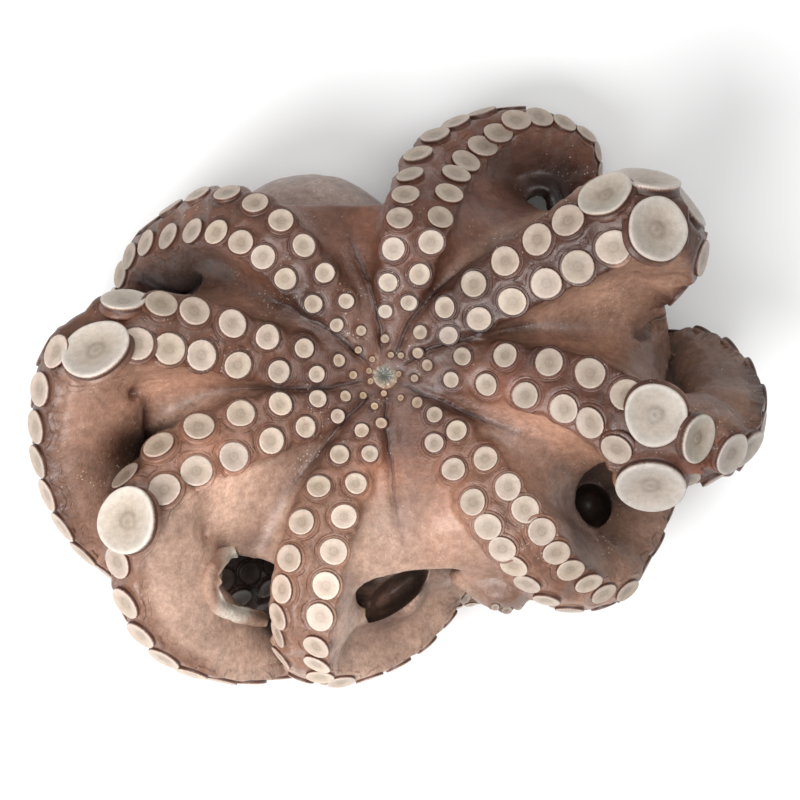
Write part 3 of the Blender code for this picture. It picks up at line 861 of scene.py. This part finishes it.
def skin_colour(places):
    lay = Lay(places)
    share = np.exp(-6 * (lay.each - lay.ratio[:, None]))
    share /= share.sum(axis=1)[:, None]
    crown = share @ np.array([ARM_SKIN[name][0] for name in arms])
    flank = share @ np.array([ARM_SKIN[name][1] for name in arms])
    low_down = 24 * (1 - ease(50, 80, places[:, 2]))
    colour = blend(crown, flank, ease(1.5, 10.0, lay.below + low_down))
    from_mouth = np.linalg.norm(places[:, :2] - np.array(MOUTH[:2]), axis=1)
    colour = blend(colour, MIDDLE, 1 - ease(18, 50, from_mouth))
    # painted shade down each valley near the mouth: a narrow dark line and a wider dark band, fading out
    # away from the mouth
    beside = crease_of(places)
    crease = np.exp(-(beside / 1.8)**2) * 0.30 + np.exp(-(beside / 8.0)**2) * 0.38
    colour = blend(colour, colour * (0.34, 0.28, 0.27), crease * (1 - ease(40, 90, from_mouth)))
    colour = colour * tone_and_shade_of(places)
    lit = np.exp(-(np.linalg.norm(places - np.array(OPEN_FOLD[0]), axis=1) / OPEN_FOLD[1])**4)
    # painted shade: the more a point is shut in by the skin round it, the darker it is painted, less so in
    # the open fold
    colour = blend(colour, HOLLOW_SHADE, ease(0.45, 0.95, shaded.at(places)) * 0.85 * (1 - 0.8 * lit))
    bag = (places - np.array(MANTLE[0])) / np.array(MANTLE[1])
    on_bag = 1 - ease(1.02, 1.12, np.linalg.norm(bag, axis=1))
    colour = blend(colour, MANTLE_GREY, on_bag * ease(1.0, 1.25, lay.ratio) * 0.8)
    return colour


def paint(mesh, name, colour):
    layer = mesh.attributes.new(name, "FLOAT_COLOR", "POINT")
    rgba = np.concatenate([colour, np.ones((len(colour), 1))], axis=1).astype(np.float32)
    layer.data.foreach_set("color", rgba.ravel())


def write_floats(mesh, name, values):
    layer = mesh.attributes.new(name, "FLOAT", "POINT")
    layer.data.foreach_set("value", values.astype(np.float32))


def rings_of(places):
    """Distance from the axis of the nearest sucker, in disc radii, up to 3."""
    best = np.full(len(places), 3.0)
    for row in rows_of.values():
        for cup in row:
            rel = places - cup.centre
            near = np.flatnonzero((rel**2).sum(1) < (3 * cup.radius)**2)
            high = rel[near] @ cup.face
            far = np.linalg.norm(rel[near] - high[:, None] * cup.face, axis=1) / cup.radius
            deep = np.maximum(0, np.abs(high) / cup.radius - 0.5) * 2.5
            best[near] = np.minimum(best[near], np.hypot(far, deep))
    return best


# how shut in each point is, used to paint shade into the hollows of the skin and of the suckers
shut = shade_of(skin)
shaded = Finder(points_of(skin.data), shut)
paint(skin.data, "tint", skin_colour(points_of(skin.data)))
write_floats(skin.data, "ring", rings_of(points_of(skin.data)))
write_floats(skin.data, "crease", crease_of(points_of(skin.data)))


class Finish:
    """A material with its shader, and short ways to add the nodes of its pattern."""

    def __init__(self, name):
        self.material = bpy.data.materials.new(name)
        self.material.use_nodes = True
        self.tree = self.material.node_tree
        self.shader = self.tree.nodes["Principled BSDF"]
        self.where = self.tree.nodes.new("ShaderNodeTexCoord").outputs["Object"]

    def set(self, **values):
        for key, value in values.items():
            self.shader.inputs[key.replace("_", " ")].default_value = value

    def link(self, a, b):
        self.tree.links.new(a, b)

    def attribute(self, name):
        node = self.tree.nodes.new("ShaderNodeAttribute")
        node.attribute_name = name
        return node

    def noise(self, scale, detail=4.0, rough=0.55, where=None, stretch=None):
        node = self.tree.nodes.new("ShaderNodeTexNoise")
        node.inputs["Scale"].default_value = scale
        node.inputs["Detail"].default_value = detail
        node.inputs["Roughness"].default_value = rough
        source = where or self.where
        if stretch:
            turn = self.tree.nodes.new("ShaderNodeMapping")
            turn.inputs["Scale"].default_value = stretch
            self.link(source, turn.inputs["Vector"])
            source = turn.outputs["Vector"]
        self.link(source, node.inputs["Vector"])
        return node.outputs["Fac"]

    def cells(self, scale, feature="F1"):
        node = self.tree.nodes.new("ShaderNodeTexVoronoi")
        node.feature = feature
        node.inputs["Scale"].default_value = scale
        self.link(self.where, node.inputs["Vector"])
        return node.outputs["Distance"]

    def from_place(self, place):
        """Distance in millimetres from a place given on the arms' table."""
        node = self.tree.nodes.new("ShaderNodeVectorMath")
        node.operation = "DISTANCE"
        self.link(self.where, node.inputs[0])
        node.inputs[1].default_value = tuple((np.array(place) - CENTRE) * MM)
        return self.math("DIVIDE", node.outputs["Value"], MM)

    def ramp(self, value, *stops, smooth=True):
        """stops: position and brightness, or position and colour."""
        node = self.tree.nodes.new("ShaderNodeValToRGB")
        node.color_ramp.interpolation = "EASE" if smooth else "LINEAR"
        marks = node.color_ramp.elements
        marks[0].position, marks[1].position = stops[0][0], stops[-1][0]
        for position, _ in stops[1:-1]:
            marks.new(position)
        for mark, (_, tone) in zip(marks, stops):
            mark.color = (*tone, 1.0) if np.ndim(tone) else (tone, tone, tone, 1.0)
        self.link(value, node.inputs["Fac"])
        return node.outputs["Color"]

    def mix(self, a, b, amount=1.0, way="MULTIPLY"):
        node = self.tree.nodes.new("ShaderNodeMix")
        node.data_type = "RGBA"
        node.blend_type = way
        for socket, value in ((node.inputs[0], amount), (node.inputs[6], a), (node.inputs[7], b)):
            if isinstance(value, bpy.types.NodeSocket):
                self.link(value, socket)
            elif socket.type == "RGBA":
                socket.default_value = (*np.broadcast_to(value, 3), 1.0)
            else:
                socket.default_value = value
        return node.outputs[2]

    def math(self, way, a, b):
        node = self.tree.nodes.new("ShaderNodeMath")
        node.operation = way
        for socket, value in zip(node.inputs, (a, b)):
            if isinstance(value, bpy.types.NodeSocket):
                self.link(value, socket)
            else:
                socket.default_value = value
        return node.outputs[0]

    def bump(self, height, depth, strength=1.0, over=None):
        node = self.tree.nodes.new("ShaderNodeBump")
        node.inputs["Strength"].default_value = strength
        node.inputs["Distance"].default_value = depth
        self.link(height, node.inputs["Height"])
        if over:
            self.link(over, node.inputs["Normal"])
        return node.outputs["Normal"]


wet_skin = Finish("wet_skin")
base = wet_skin.attribute("tint").outputs["Color"]
blotch = wet_skin.ramp(wet_skin.noise(62, 6, 0.6), (0.30, (0.80, 0.77, 0.76)), (0.70, (1.15, 1.14, 1.13)))
mottle = wet_skin.ramp(wet_skin.noise(380, 8, 0.75), (0.34, (0.78, 0.74, 0.72)),
                       (0.66, (1.15, 1.15, 1.15)))
specks = wet_skin.ramp(wet_skin.cells(900), (0.10, (0.62, 0.52, 0.50)), (0.34, (1.0, 1.0, 1.0)))
where_specks = wet_skin.ramp(wet_skin.noise(120, 3), (0.45, 0.0), (0.65, 0.55))
colour = wet_skin.mix(base, blotch)
colour = wet_skin.mix(colour, mottle)
colour = wet_skin.mix(colour, wet_skin.mix((1.0, 1.0, 1.0), specks, where_specks, "MIX"))
# thin folds round every sucker, broken here and there, drawn dark as painted shade in their creases
wander = wet_skin.math("MULTIPLY", wet_skin.math("SUBTRACT", wet_skin.noise(260, 3), 0.5), 0.24)
ring = wet_skin.math("DIVIDE", wet_skin.math("ADD", wet_skin.attribute("ring").outputs["Fac"], wander), 3.0)
folds = wet_skin.ramp(ring, (0.0, 1.0), (0.425, 1.0), (0.445, 0.3), (0.465, 0.95), (0.535, 1.0),
                      (0.555, 0.65), (0.575, 1.0), smooth=False)
broken = wet_skin.ramp(wet_skin.noise(140, 2), (0.40, 0.0), (0.62, 1.0))
folds = wet_skin.mix(1.0, folds, broken, "MIX")
# a dark line of painted shade down each valley near the mouth
wander = wet_skin.math("MULTIPLY", wet_skin.math("SUBTRACT", wet_skin.noise(150, 4), 0.5), 3.0)
beside = wet_skin.math("ADD", wet_skin.attribute("crease").outputs["Fac"], wander)
beside = wet_skin.math("DIVIDE", wet_skin.math("ABSOLUTE", beside, 0.0), 10.0)
line = wet_skin.ramp(beside, (0.0, 0.0), (0.03, 0.15), (0.07, 0.85), (0.12, 1.0), (0.16, 0.86),
                     (0.20, 1.0), smooth=False)
out_from_mouth = wet_skin.from_place(MOUTH)
fade = wet_skin.ramp(wet_skin.math("DIVIDE", out_from_mouth, 100.0), (0.06, 1.0), (0.10, 0.0),
                     (0.30, 0.1), (0.62, 1.0))
line = wet_skin.mix(line, 1.0, fade, "MIX")
lines = wet_skin.mix(folds, line)
# the fold and valley lines are painted dark as shade in the creases, and are pressed in as bumps below
colour = wet_skin.mix(colour, wet_skin.mix((0.44, 0.32, 0.28), (1.0, 1.0, 1.0), lines, "MIX"))
# a few pale flecks: bits of slime froth and painted glints of light on the wet skin
fleck = wet_skin.ramp(wet_skin.cells(640), (0.14, 1.0), (0.24, 0.0))
where_flecks = wet_skin.ramp(wet_skin.noise(48, 6, 0.75), (0.52, 0.0), (0.62, 0.55))
colour = wet_skin.mix(colour, linear(196, 182, 170), wet_skin.mix(fleck, where_flecks), "MIX")
wet_skin.link(colour, wet_skin.shader.inputs["Base Color"])
gloss = wet_skin.ramp(wet_skin.noise(160, 4), (0.3, 0.38), (0.7, 0.58))
wet_skin.link(gloss, wet_skin.shader.inputs["Roughness"])
wet_skin.set(Coat_Weight=0.14, Coat_Roughness=0.20, Subsurface_Weight=0.10, Subsurface_Scale=0.002)
wet_skin.shader.inputs["Subsurface Radius"].default_value = (1.0, 0.4, 0.25)
grain = wet_skin.bump(wet_skin.noise(700, 5, 0.6), 0.0004, 0.5)
creases = wet_skin.bump(wet_skin.noise(180, 4, 0.65), 0.0012, 0.5, over=grain)
sunk = wet_skin.bump(lines, 0.0005, 0.7, over=creases)
wet_skin.link(sunk, wet_skin.shader.inputs["Normal"])

skin.data.materials.clear()
skin.data.materials.append(wet_skin.material)
skin.data.shade_smooth()
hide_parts("octopus")
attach(skin, "root")


# ---------------------------------------------------------------------------------------
# Mouth: the puckered grey lips round the beak, in the middle of the web, turned as one
# ring of soft flesh and gathered into small pleats.
# ---------------------------------------------------------------------------------------
LIP_PROFILE = ((0.0, -0.5), (0.7, -0.35), (1.7, 0.05), (2.9, 0.3), (4.2, 0.1), (5.6, -0.5),
               (7.2, -1.9), (0.0, -2.8))
PLEATS = 11


def drop_on(piece):
    """Height in millimetres at which something let fall would land on the piece."""
    tree = BVHTree.FromObject(piece, bpy.context.evaluated_depsgraph_get())

    def height(x, y):
        start = Vector(((x - CENTRE[0]) * MM, (y - CENTRE[1]) * MM, 200 * MM))
        place = tree.ray_cast(start, Vector((0, 0, -1)))[0]
        return place[2] / MM if place else 0.0
    return height


height = drop_on(skin)
flesh = bmesh.new()
verts = [flesh.verts.new((r, 0.0, z)) for r, z in LIP_PROFILE]
edges = [flesh.edges.new(pair) for pair in zip(verts, verts[1:])]
bmesh.ops.spin(flesh, geom=verts + edges, cent=(0, 0, 0), axis=(0, 0, 1),
               angle=2 * math.pi, steps=66, use_merge=True)
bmesh.ops.remove_doubles(flesh, verts=flesh.verts, dist=1e-5)
bmesh.ops.recalc_face_normals(flesh, faces=flesh.faces)
mouth_top = height(MOUTH[0], MOUTH[1])
places = []
for v in flesh.verts:
    r, a = v.co.xy.length, math.atan2(v.co.y, v.co.x)
    a += 0.25 * noise.noise(Vector((v.co.x, v.co.y, 0)) / 2)
    pleat = 0.16 * math.cos(PLEATS * a) * float(ease(0.5, 1.8, r) * (1 - ease(3.2, 5.0, r)))
    swell = 1 + 0.10 * math.cos(2 * a + 1)
    places.append((MOUTH[0] + v.co.x * swell, MOUTH[1] + v.co.y * swell,
                   mouth_top + 0.70 + v.co.z + pleat))
flesh.verts.ensure_lookup_table()
put(flesh.verts, np.array(places))
mouth = new_piece("mouth", flesh)

lips = Finish("lips")
out = lips.from_place((MOUTH[0], MOUTH[1], mouth_top))
wave = lips.math("MULTIPLY", lips.noise(320, 4), 2.4)
out = lips.math("DIVIDE", lips.math("SUBTRACT", lips.math("ADD", out, wave), 1.2), 7.0)
tone = lips.ramp(out, (0.05, linear(62, 60, 54)), (0.28, linear(94, 92, 82)),
                 (0.46, linear(114, 102, 86)), (0.62, linear(138, 110, 86)),
                 (0.80, linear(116, 80, 62)), smooth=False)
speck = lips.ramp(lips.cells(900), (0.14, 1.0), (0.26, 0.0))
speck = lips.mix(speck, lips.ramp(lips.noise(420, 3), (0.44, 0.0), (0.54, 0.9)))
lips.link(lips.mix(tone, linear(206, 200, 184), speck, "MIX"), lips.shader.inputs["Base Color"])
lips.set(Roughness=0.42, Coat_Weight=0.2, Coat_Roughness=0.2)
lips.link(lips.bump(lips.noise(900, 4), 0.0004, 0.6), lips.shader.inputs["Normal"])
mouth.data.materials.append(lips.material)
mouth.data.shade_smooth()
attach(mouth, "root")

# ---------------------------------------------------------------------------------------
# Torn rim: where the web is torn through beside the arm, the cut flesh shows as a swollen,
# ragged cream band that folds over into the hole. One sheet laid along the tear.
# ---------------------------------------------------------------------------------------
TEAR = ((-57.7, -54.9), (-62.6, -56.8), (-65.4, -61.4), (-66.0, -67.8), (-63.8, -73.2),
        (-58.8, -76.8), (-52.9, -79.0), (-47.0, -81.0))
TEAR_MIDDLE = np.array([-57.0, -66.5])
TEAR_HALF = 3.1


def lay_tear(height, cols=12):
    """Middle points of the band: sunk in the skin outside, rolled down at the hole."""
    line = smooth_line([(x, y, 0.0) for x, y in TEAR], 0.7)[:, :2]
    way = unit(np.gradient(line, axis=0))
    outward = np.stack([way[:, 1], -way[:, 0]], axis=1)
    flip = np.sign(((line - TEAR_MIDDLE) * outward).sum(1))
    outward *= flip[:, None]
    level = np.array([height(*(p + n * 3.0)) for p, n in zip(line, outward)])
    kernel = np.ones(9) / 9
    level = np.convolve(np.pad(level, 4, mode="edge"), kernel, mode="valid")
    middle = []
    for index, (p, n) in enumerate(zip(line, outward)):
        end = min(index, len(line) - 1 - index) / 7
        fade = min(1.0, end)
        rough = noise.noise(Vector((p[0], p[1], 0)) / 3.0)
        band = []
        for t in np.linspace(0, 1, cols + 1):
            reach = TEAR_HALF * (1 - 2 * t) * (0.5 + 0.5 * fade)
            if t > 0.6:
                reach -= (t - 0.6) * 4.5 * rough
            lump = noise.noise(Vector((p[0], p[1], t * 4)) / 1.6) * 0.55 * fade
            rise = -1.7 + 2.3 * math.sin(math.pi * min(1.0, t * 1.25)) * (0.4 + 0.6 * fade)
            fall = -5.0 * max(0.0, t - 0.62)
            band.append((*(p + n * reach), level[index] + rise + fall + lump))
        middle.append(band)
    return np.array(middle)


flesh = bmesh.new()
hang_sheet(flesh, lay_tear(height), 1.3)
bmesh.ops.recalc_face_normals(flesh, faces=flesh.faces)
tear = new_piece("torn_rim", flesh)
round_off = tear.modifiers.new("round", "SUBSURF")
round_off.levels = round_off.render_levels = 1

raw_edge = Finish("raw_edge")
out = raw_edge.from_place((*TEAR_MIDDLE, 74.0))
wave = raw_edge.math("MULTIPLY", raw_edge.noise(240, 4), 3.0)
out = raw_edge.math("DIVIDE", raw_edge.math("ADD", out, wave), 20.0)
tone = raw_edge.ramp(out, (0.40, linear(150, 136, 120)), (0.55, linear(216, 206, 192)),
                     (0.72, linear(212, 200, 186)), (0.82, linear(190, 164, 146)),
                     (0.90, linear(172, 138, 119)), smooth=False)
shreds = raw_edge.ramp(raw_edge.noise(700, 5, 0.7), (0.35, (0.82, 0.80, 0.78)), (0.65, (1.06, 1.06, 1.06)))
raw_edge.link(raw_edge.mix(tone, shreds), raw_edge.shader.inputs["Base Color"])
raw_edge.set(Roughness=0.55, Coat_Weight=0.10, Coat_Roughness=0.3, Subsurface_Weight=0.15,
             Subsurface_Scale=0.002)
raw_edge.link(raw_edge.bump(raw_edge.noise(600, 5, 0.7), 0.0008, 0.7), raw_edge.shader.inputs["Normal"])
tear.data.materials.append(raw_edge.material)
tear.data.shade_smooth()
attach(tear, "root")

# ---------------------------------------------------------------------------------------
# Suckers: pale cups of firm muscle in two rows on every arm, a flat disc with a closed
# mouth, a sharp rim over a groove painted dark as shade, and a stalk that spreads into a
# collar of skin.
# One cup is turned once and set again for every sucker, each a little different.
# ---------------------------------------------------------------------------------------
CUP_STEPS = 10
# radius and height against the disc's radius, and how far out over the cup that is:
# 0 at the middle, 1 on the rim, 2 at the foot
CUP_PROFILE = (
    (0.0, 0.04, 0.0), (0.36, 0.03, 0.36), (0.76, 0.09, 0.76), (0.98, 0.13, 0.98),
    (1.01, 0.03, 1.1), (0.97, -0.09, 1.25), (1.11, -0.02, 1.5), (1.24, -0.06, 1.75),
    (1.26, -0.34, 2.0), (0.0, -0.40, 2.4))


def turned_cup(name, profile, steps):
    """The cup's half section spun round its axis, with its two poles closed."""
    bm = bmesh.new()
    out = bm.verts.layers.float.new("across")
    verts = [bm.verts.new((r, 0.0, z)) for r, z, _ in profile]
    for v, (_, _, across) in zip(verts, profile):
        v[out] = across
    edges = [bm.edges.new(pair) for pair in zip(verts, verts[1:])]
    bmesh.ops.spin(bm, geom=verts + edges, cent=(0, 0, 0), axis=(0, 0, 1),
                   angle=2 * math.pi, steps=steps, use_merge=True)
    bmesh.ops.remove_doubles(bm, verts=bm.verts, dist=1e-5)
    bmesh.ops.recalc_face_normals(bm, faces=bm.faces)
    mesh = bpy.data.meshes.new(name)
    bm.to_mesh(mesh)
    bm.free()
    return mesh


def read_floats(mesh, name):
    values = np.empty(len(mesh.vertices), np.float32)
    mesh.attributes[name].data.foreach_get("value", values)
    return values


def set_cups(name, cup_mesh, cups, rng, levels):
    """One piece of many cups, each with its own outline, hollow and tone, darkened with painted shade where
    it sits in a hollow.
    """
    bm = bmesh.new()
    for _ in cups:
        bm.from_mesh(cup_mesh)
    piece = new_piece(name, bm)
    unit_cup = np.empty(len(cup_mesh.vertices) * 3, np.float32)
    cup_mesh.vertices.foreach_get("co", unit_cup)
    unit_cup = unit_cup.reshape(-1, 3)
    across = read_floats(cup_mesh, "across")
    x, y, z = unit_cup.T
    round_by = np.arctan2(y, x)
    stem = np.minimum(1.0, 0.97 / np.maximum(np.hypot(x, y), 0.01))
    whole = np.stack([x, y, z])
    bare = np.stack([x * stem, y * stem, np.where(across > 1.3, np.minimum(z, -0.2), z)])
    places, tones, dials = [], [], []
    for cup in cups:
        r = cup.radius * SUCKER_SPAN
        collar = float(ease(0.62, 0.86, cup.face[2]))    # only where the skin round it is flat
        x, y, z = bare + (whole - bare) * collar
        bulge = (1 + 0.045 * math.sin(rng.uniform(0, 7)) * np.cos(2 * round_by + rng.uniform(0, 7))
                 + rng.uniform(0, 0.035) * np.cos(3 * round_by + rng.uniform(0, 7))
                 + rng.uniform(0, 0.02) * np.cos(5 * round_by + rng.uniform(0, 7)))
        rise = z * r * rng.uniform(0.85, 1.2)
        stalk = ease(1.05, 1.9, across)                  # 0 on the disc, 1 at the foot
        tilt = cup.lean * (1 - stalk) + cup.lean * SEAT_LEAN * stalk
        rock = math.radians(rng.uniform(-4, 4)) * (1 - stalk)
        face = np.outer(np.cos(tilt), cup.face) + np.outer(np.sin(tilt), cup.out)
        out = np.outer(np.cos(tilt), cup.out) - np.outer(np.sin(tilt), cup.face)
        along = cup.along * np.cos(rock)[:, None] + face * np.sin(rock)[:, None]
        lift = r * abs(math.sin(cup.lean)) * 0.10 * (1 - stalk)
        places.append(cup.centre + along * (x * bulge * r)[:, None] + out * (y * bulge * r)[:, None]
                      + face * (rise + lift)[:, None])
        tone = rng.uniform(0.90, 1.08) * DISC_TONE[cup.arm.name]
        young = 1 - float(ease(8, 26, cup.s))            # the smallest ones round the mouth
        tones.append(np.tile([tone * (1 - 0.28 * young), tone * (1 - 0.40 * young),
                              tone * (1 - 0.52 * young) * rng.uniform(0.95, 1.02)], (len(x), 1)))
        dials.append(np.stack([x, y, np.full(len(x), rng.uniform(0, 50))], axis=1))
    places = np.concatenate(places)
    places[:, 2] = np.maximum(places[:, 2], 0.3)
    set_points(piece.data, places)
    # painted shade on the suckers: darker where the fields darken the skin round them, and darker still
    # where they are shut in
    dim = 1 - 0.75 * ease(0.5, 0.95, shaded.at(places))
    field = np.clip(tone_and_shade_of(places), 0, 1)**np.where(places[:, 2] > 65, 0.55, 1.0)[:, None]
    paint(piece.data, "tone", np.concatenate(tones) * field * dim[:, None])
    paint(piece.data, "tint", skin_colour(places))
    dial = piece.data.attributes.new("dial", "FLOAT_VECTOR", "POINT")
    dial.data.foreach_set("vector", np.concatenate(dials).astype(np.float32).ravel())
    round_off = piece.modifiers.new("round", "SUBSURF")
    round_off.levels = round_off.render_levels = levels
    piece.data.shade_smooth()
    return piece


def disc_flesh(name, fray, *stops):
    """Pale flesh coloured in rings, from the middle of the disc out to its rim at 0.4, then
    the brown skin of the stalk, darkest just under the rim as painted shade in the groove;
    fray is how ragged the rings are."""
    flesh = Finish(name)
    fuzz = flesh.noise(26, 5, 0.7, where=flesh.attribute("dial").outputs["Vector"])
    shift = flesh.math("MULTIPLY", flesh.math("SUBTRACT", fuzz, 0.5), fray)
    across = flesh.math("ADD", flesh.attribute("across").outputs["Fac"], shift)
    # the brown of the stalk, darkest just under the rim as painted shade in the groove
    groove_brown_and_shade = ((0.425, linear(140, 104, 90)), (0.45, linear(84, 54, 45)), (0.56, linear(78, 50, 41)))
    rings = flesh.ramp(flesh.math("MULTIPLY", across, 0.4), *stops, *groove_brown_and_shade, smooth=False)
    cream = flesh.mix(rings, flesh.attribute("tone").outputs["Color"])
    cloudy = flesh.ramp(flesh.noise(420, 6, 0.6), (0.3, (0.87, 0.86, 0.84)), (0.7, (1.07, 1.06, 1.05)))
    flesh.link(flesh.mix(cream, cloudy), flesh.shader.inputs["Base Color"])
    flesh.set(Roughness=0.5, Coat_Weight=0.12, Coat_Roughness=0.3, Subsurface_Weight=0.15,
              Subsurface_Scale=0.002)
    flesh.shader.inputs["Subsurface Radius"].default_value = (1.0, 0.6, 0.4)
    flesh.link(flesh.bump(flesh.noise(900, 4), 0.0003, 0.5), flesh.shader.inputs["Normal"])
    return flesh.material


sucker_flesh = disc_flesh(
    "sucker_flesh", 0.20, (0.00, linear(170, 152, 135)), (0.07, linear(182, 163, 147)),
    (0.10, linear(167, 148, 131)), (0.14, linear(186, 167, 151)), (0.24, linear(201, 182, 166)),
    (0.34, linear(208, 189, 174)), (0.385, linear(220, 203, 189)), (0.405, linear(200, 177, 162)))

cup_mesh = turned_cup("cup", CUP_PROFILE, CUP_STEPS)
rng = np.random.default_rng(8)
GREAT = 7.5            # suckers wider than this are the enlarged ones, made finer below
cup_pieces = []
for name, row in rows_of.items():
    piece = set_cups("suckers_" + name, cup_mesh, [cup for cup in row if cup.radius < GREAT],
                     rng, 1)
    cup_pieces.append(piece)

# ---------------------------------------------------------------------------------------
# Great suckers: the enlarged ones where the arms turn over, as wide as a coin, with a white
# frayed margin round a yellow-grey hollow. Same flesh, grown thicker, turned with more turns.
# ---------------------------------------------------------------------------------------
GREAT_PROFILE = (
    (0.0, 0.015, 0.0), (0.12, 0.03, 0.12), (0.26, 0.00, 0.26), (0.5, 0.03, 0.5), (0.74, 0.09, 0.74),
    (0.92, 0.15, 0.92), (1.0, 0.10, 1.0), (0.94, -0.02, 1.1), (0.95, -0.10, 1.25),
    (1.03, -0.12, 1.45), (1.12, -0.30, 2.0), (0.0, -0.34, 2.4))
great_mesh = turned_cup("great_cup", GREAT_PROFILE, 24)
great_flesh = disc_flesh(
    "great_flesh", 0.24, (0.00, linear(166, 151, 137)), (0.05, linear(188, 173, 160)),
    (0.085, linear(170, 155, 142)), (0.13, linear(194, 179, 166)), (0.22, linear(206, 192, 180)),
    (0.31, linear(214, 202, 192)), (0.375, linear(230, 220, 213)), (0.405, linear(214, 199, 188)))
great = set_cups("great_suckers", great_mesh,
                 [cup for row in rows_of.values() for cup in row if cup.radius >= GREAT],
                 rng, 2)
cup_pieces.append(great)
for piece in cup_pieces:
    piece.data.materials.append(great_flesh if piece is great else sucker_flesh)
    piece.data.materials.append(wet_skin.material)
    values = read_floats(piece.data, "across")
    for face in piece.data.polygons:
        face.material_index = 1 if min(values[v] for v in face.vertices) > 1.2 else 0
    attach(piece, "root")


# ---------------------------------------------------------------------------------------
# Floor, light and camera: a plain white table, a large soft lamp in front of the animal,
# a second one above, and a camera that looks straight down.
# ---------------------------------------------------------------------------------------
floor_bm = bmesh.new()
bmesh.ops.create_grid(floor_bm, x_segments=1, y_segments=1, size=3.0)
floor = new_piece("floor", floor_bm)
table_white = Finish("table_white")
table_white.set(Roughness=0.8)
table_white.shader.inputs["Base Color"].default_value = (0.9, 0.9, 0.9, 1.0)
floor.data.materials.append(table_white.material)


def soft_lamp(name, power, size, place, aim):
    light = bpy.data.lights.new(name, "AREA")
    light.energy = power
    light.shape = "DISK"
    light.size = size
    lamp = bpy.data.objects.new(name, light)
    bpy.context.scene.collection.objects.link(lamp)
    lamp.location = place
    lamp.rotation_euler = (Vector(aim) - Vector(place)).to_track_quat("-Z", "Y").to_euler()
    return lamp


soft_lamp("front_lamp", 27.0, 1.0, (-0.62, -0.80, 1.25), (0.0, 0.0, 0.05))
soft_lamp("top_lamp", 21.0, 1.6, (0.25, 0.35, 1.9), (0.0, 0.0, 0.0))
world = bpy.data.worlds.new("studio")
world.use_nodes = True
world.node_tree.nodes["Background"].inputs["Color"].default_value = (1.0, 1.0, 1.0, 1.0)
world.node_tree.nodes["Background"].inputs["Strength"].default_value = 0.33
bpy.context.scene.world = world
bpy.context.scene.view_settings.view_transform = "Standard"

eye = bpy.data.cameras.new("eye")
eye.sensor_width = 36.0
eye.lens = 137.5
eye.clip_start, eye.clip_end = 0.05, 10.0
camera = bpy.data.objects.new("eye", eye)
bpy.context.scene.collection.objects.link(camera)
camera.location = (0.00093, -0.00282, 1.160)
bpy.context.scene.camera = camera
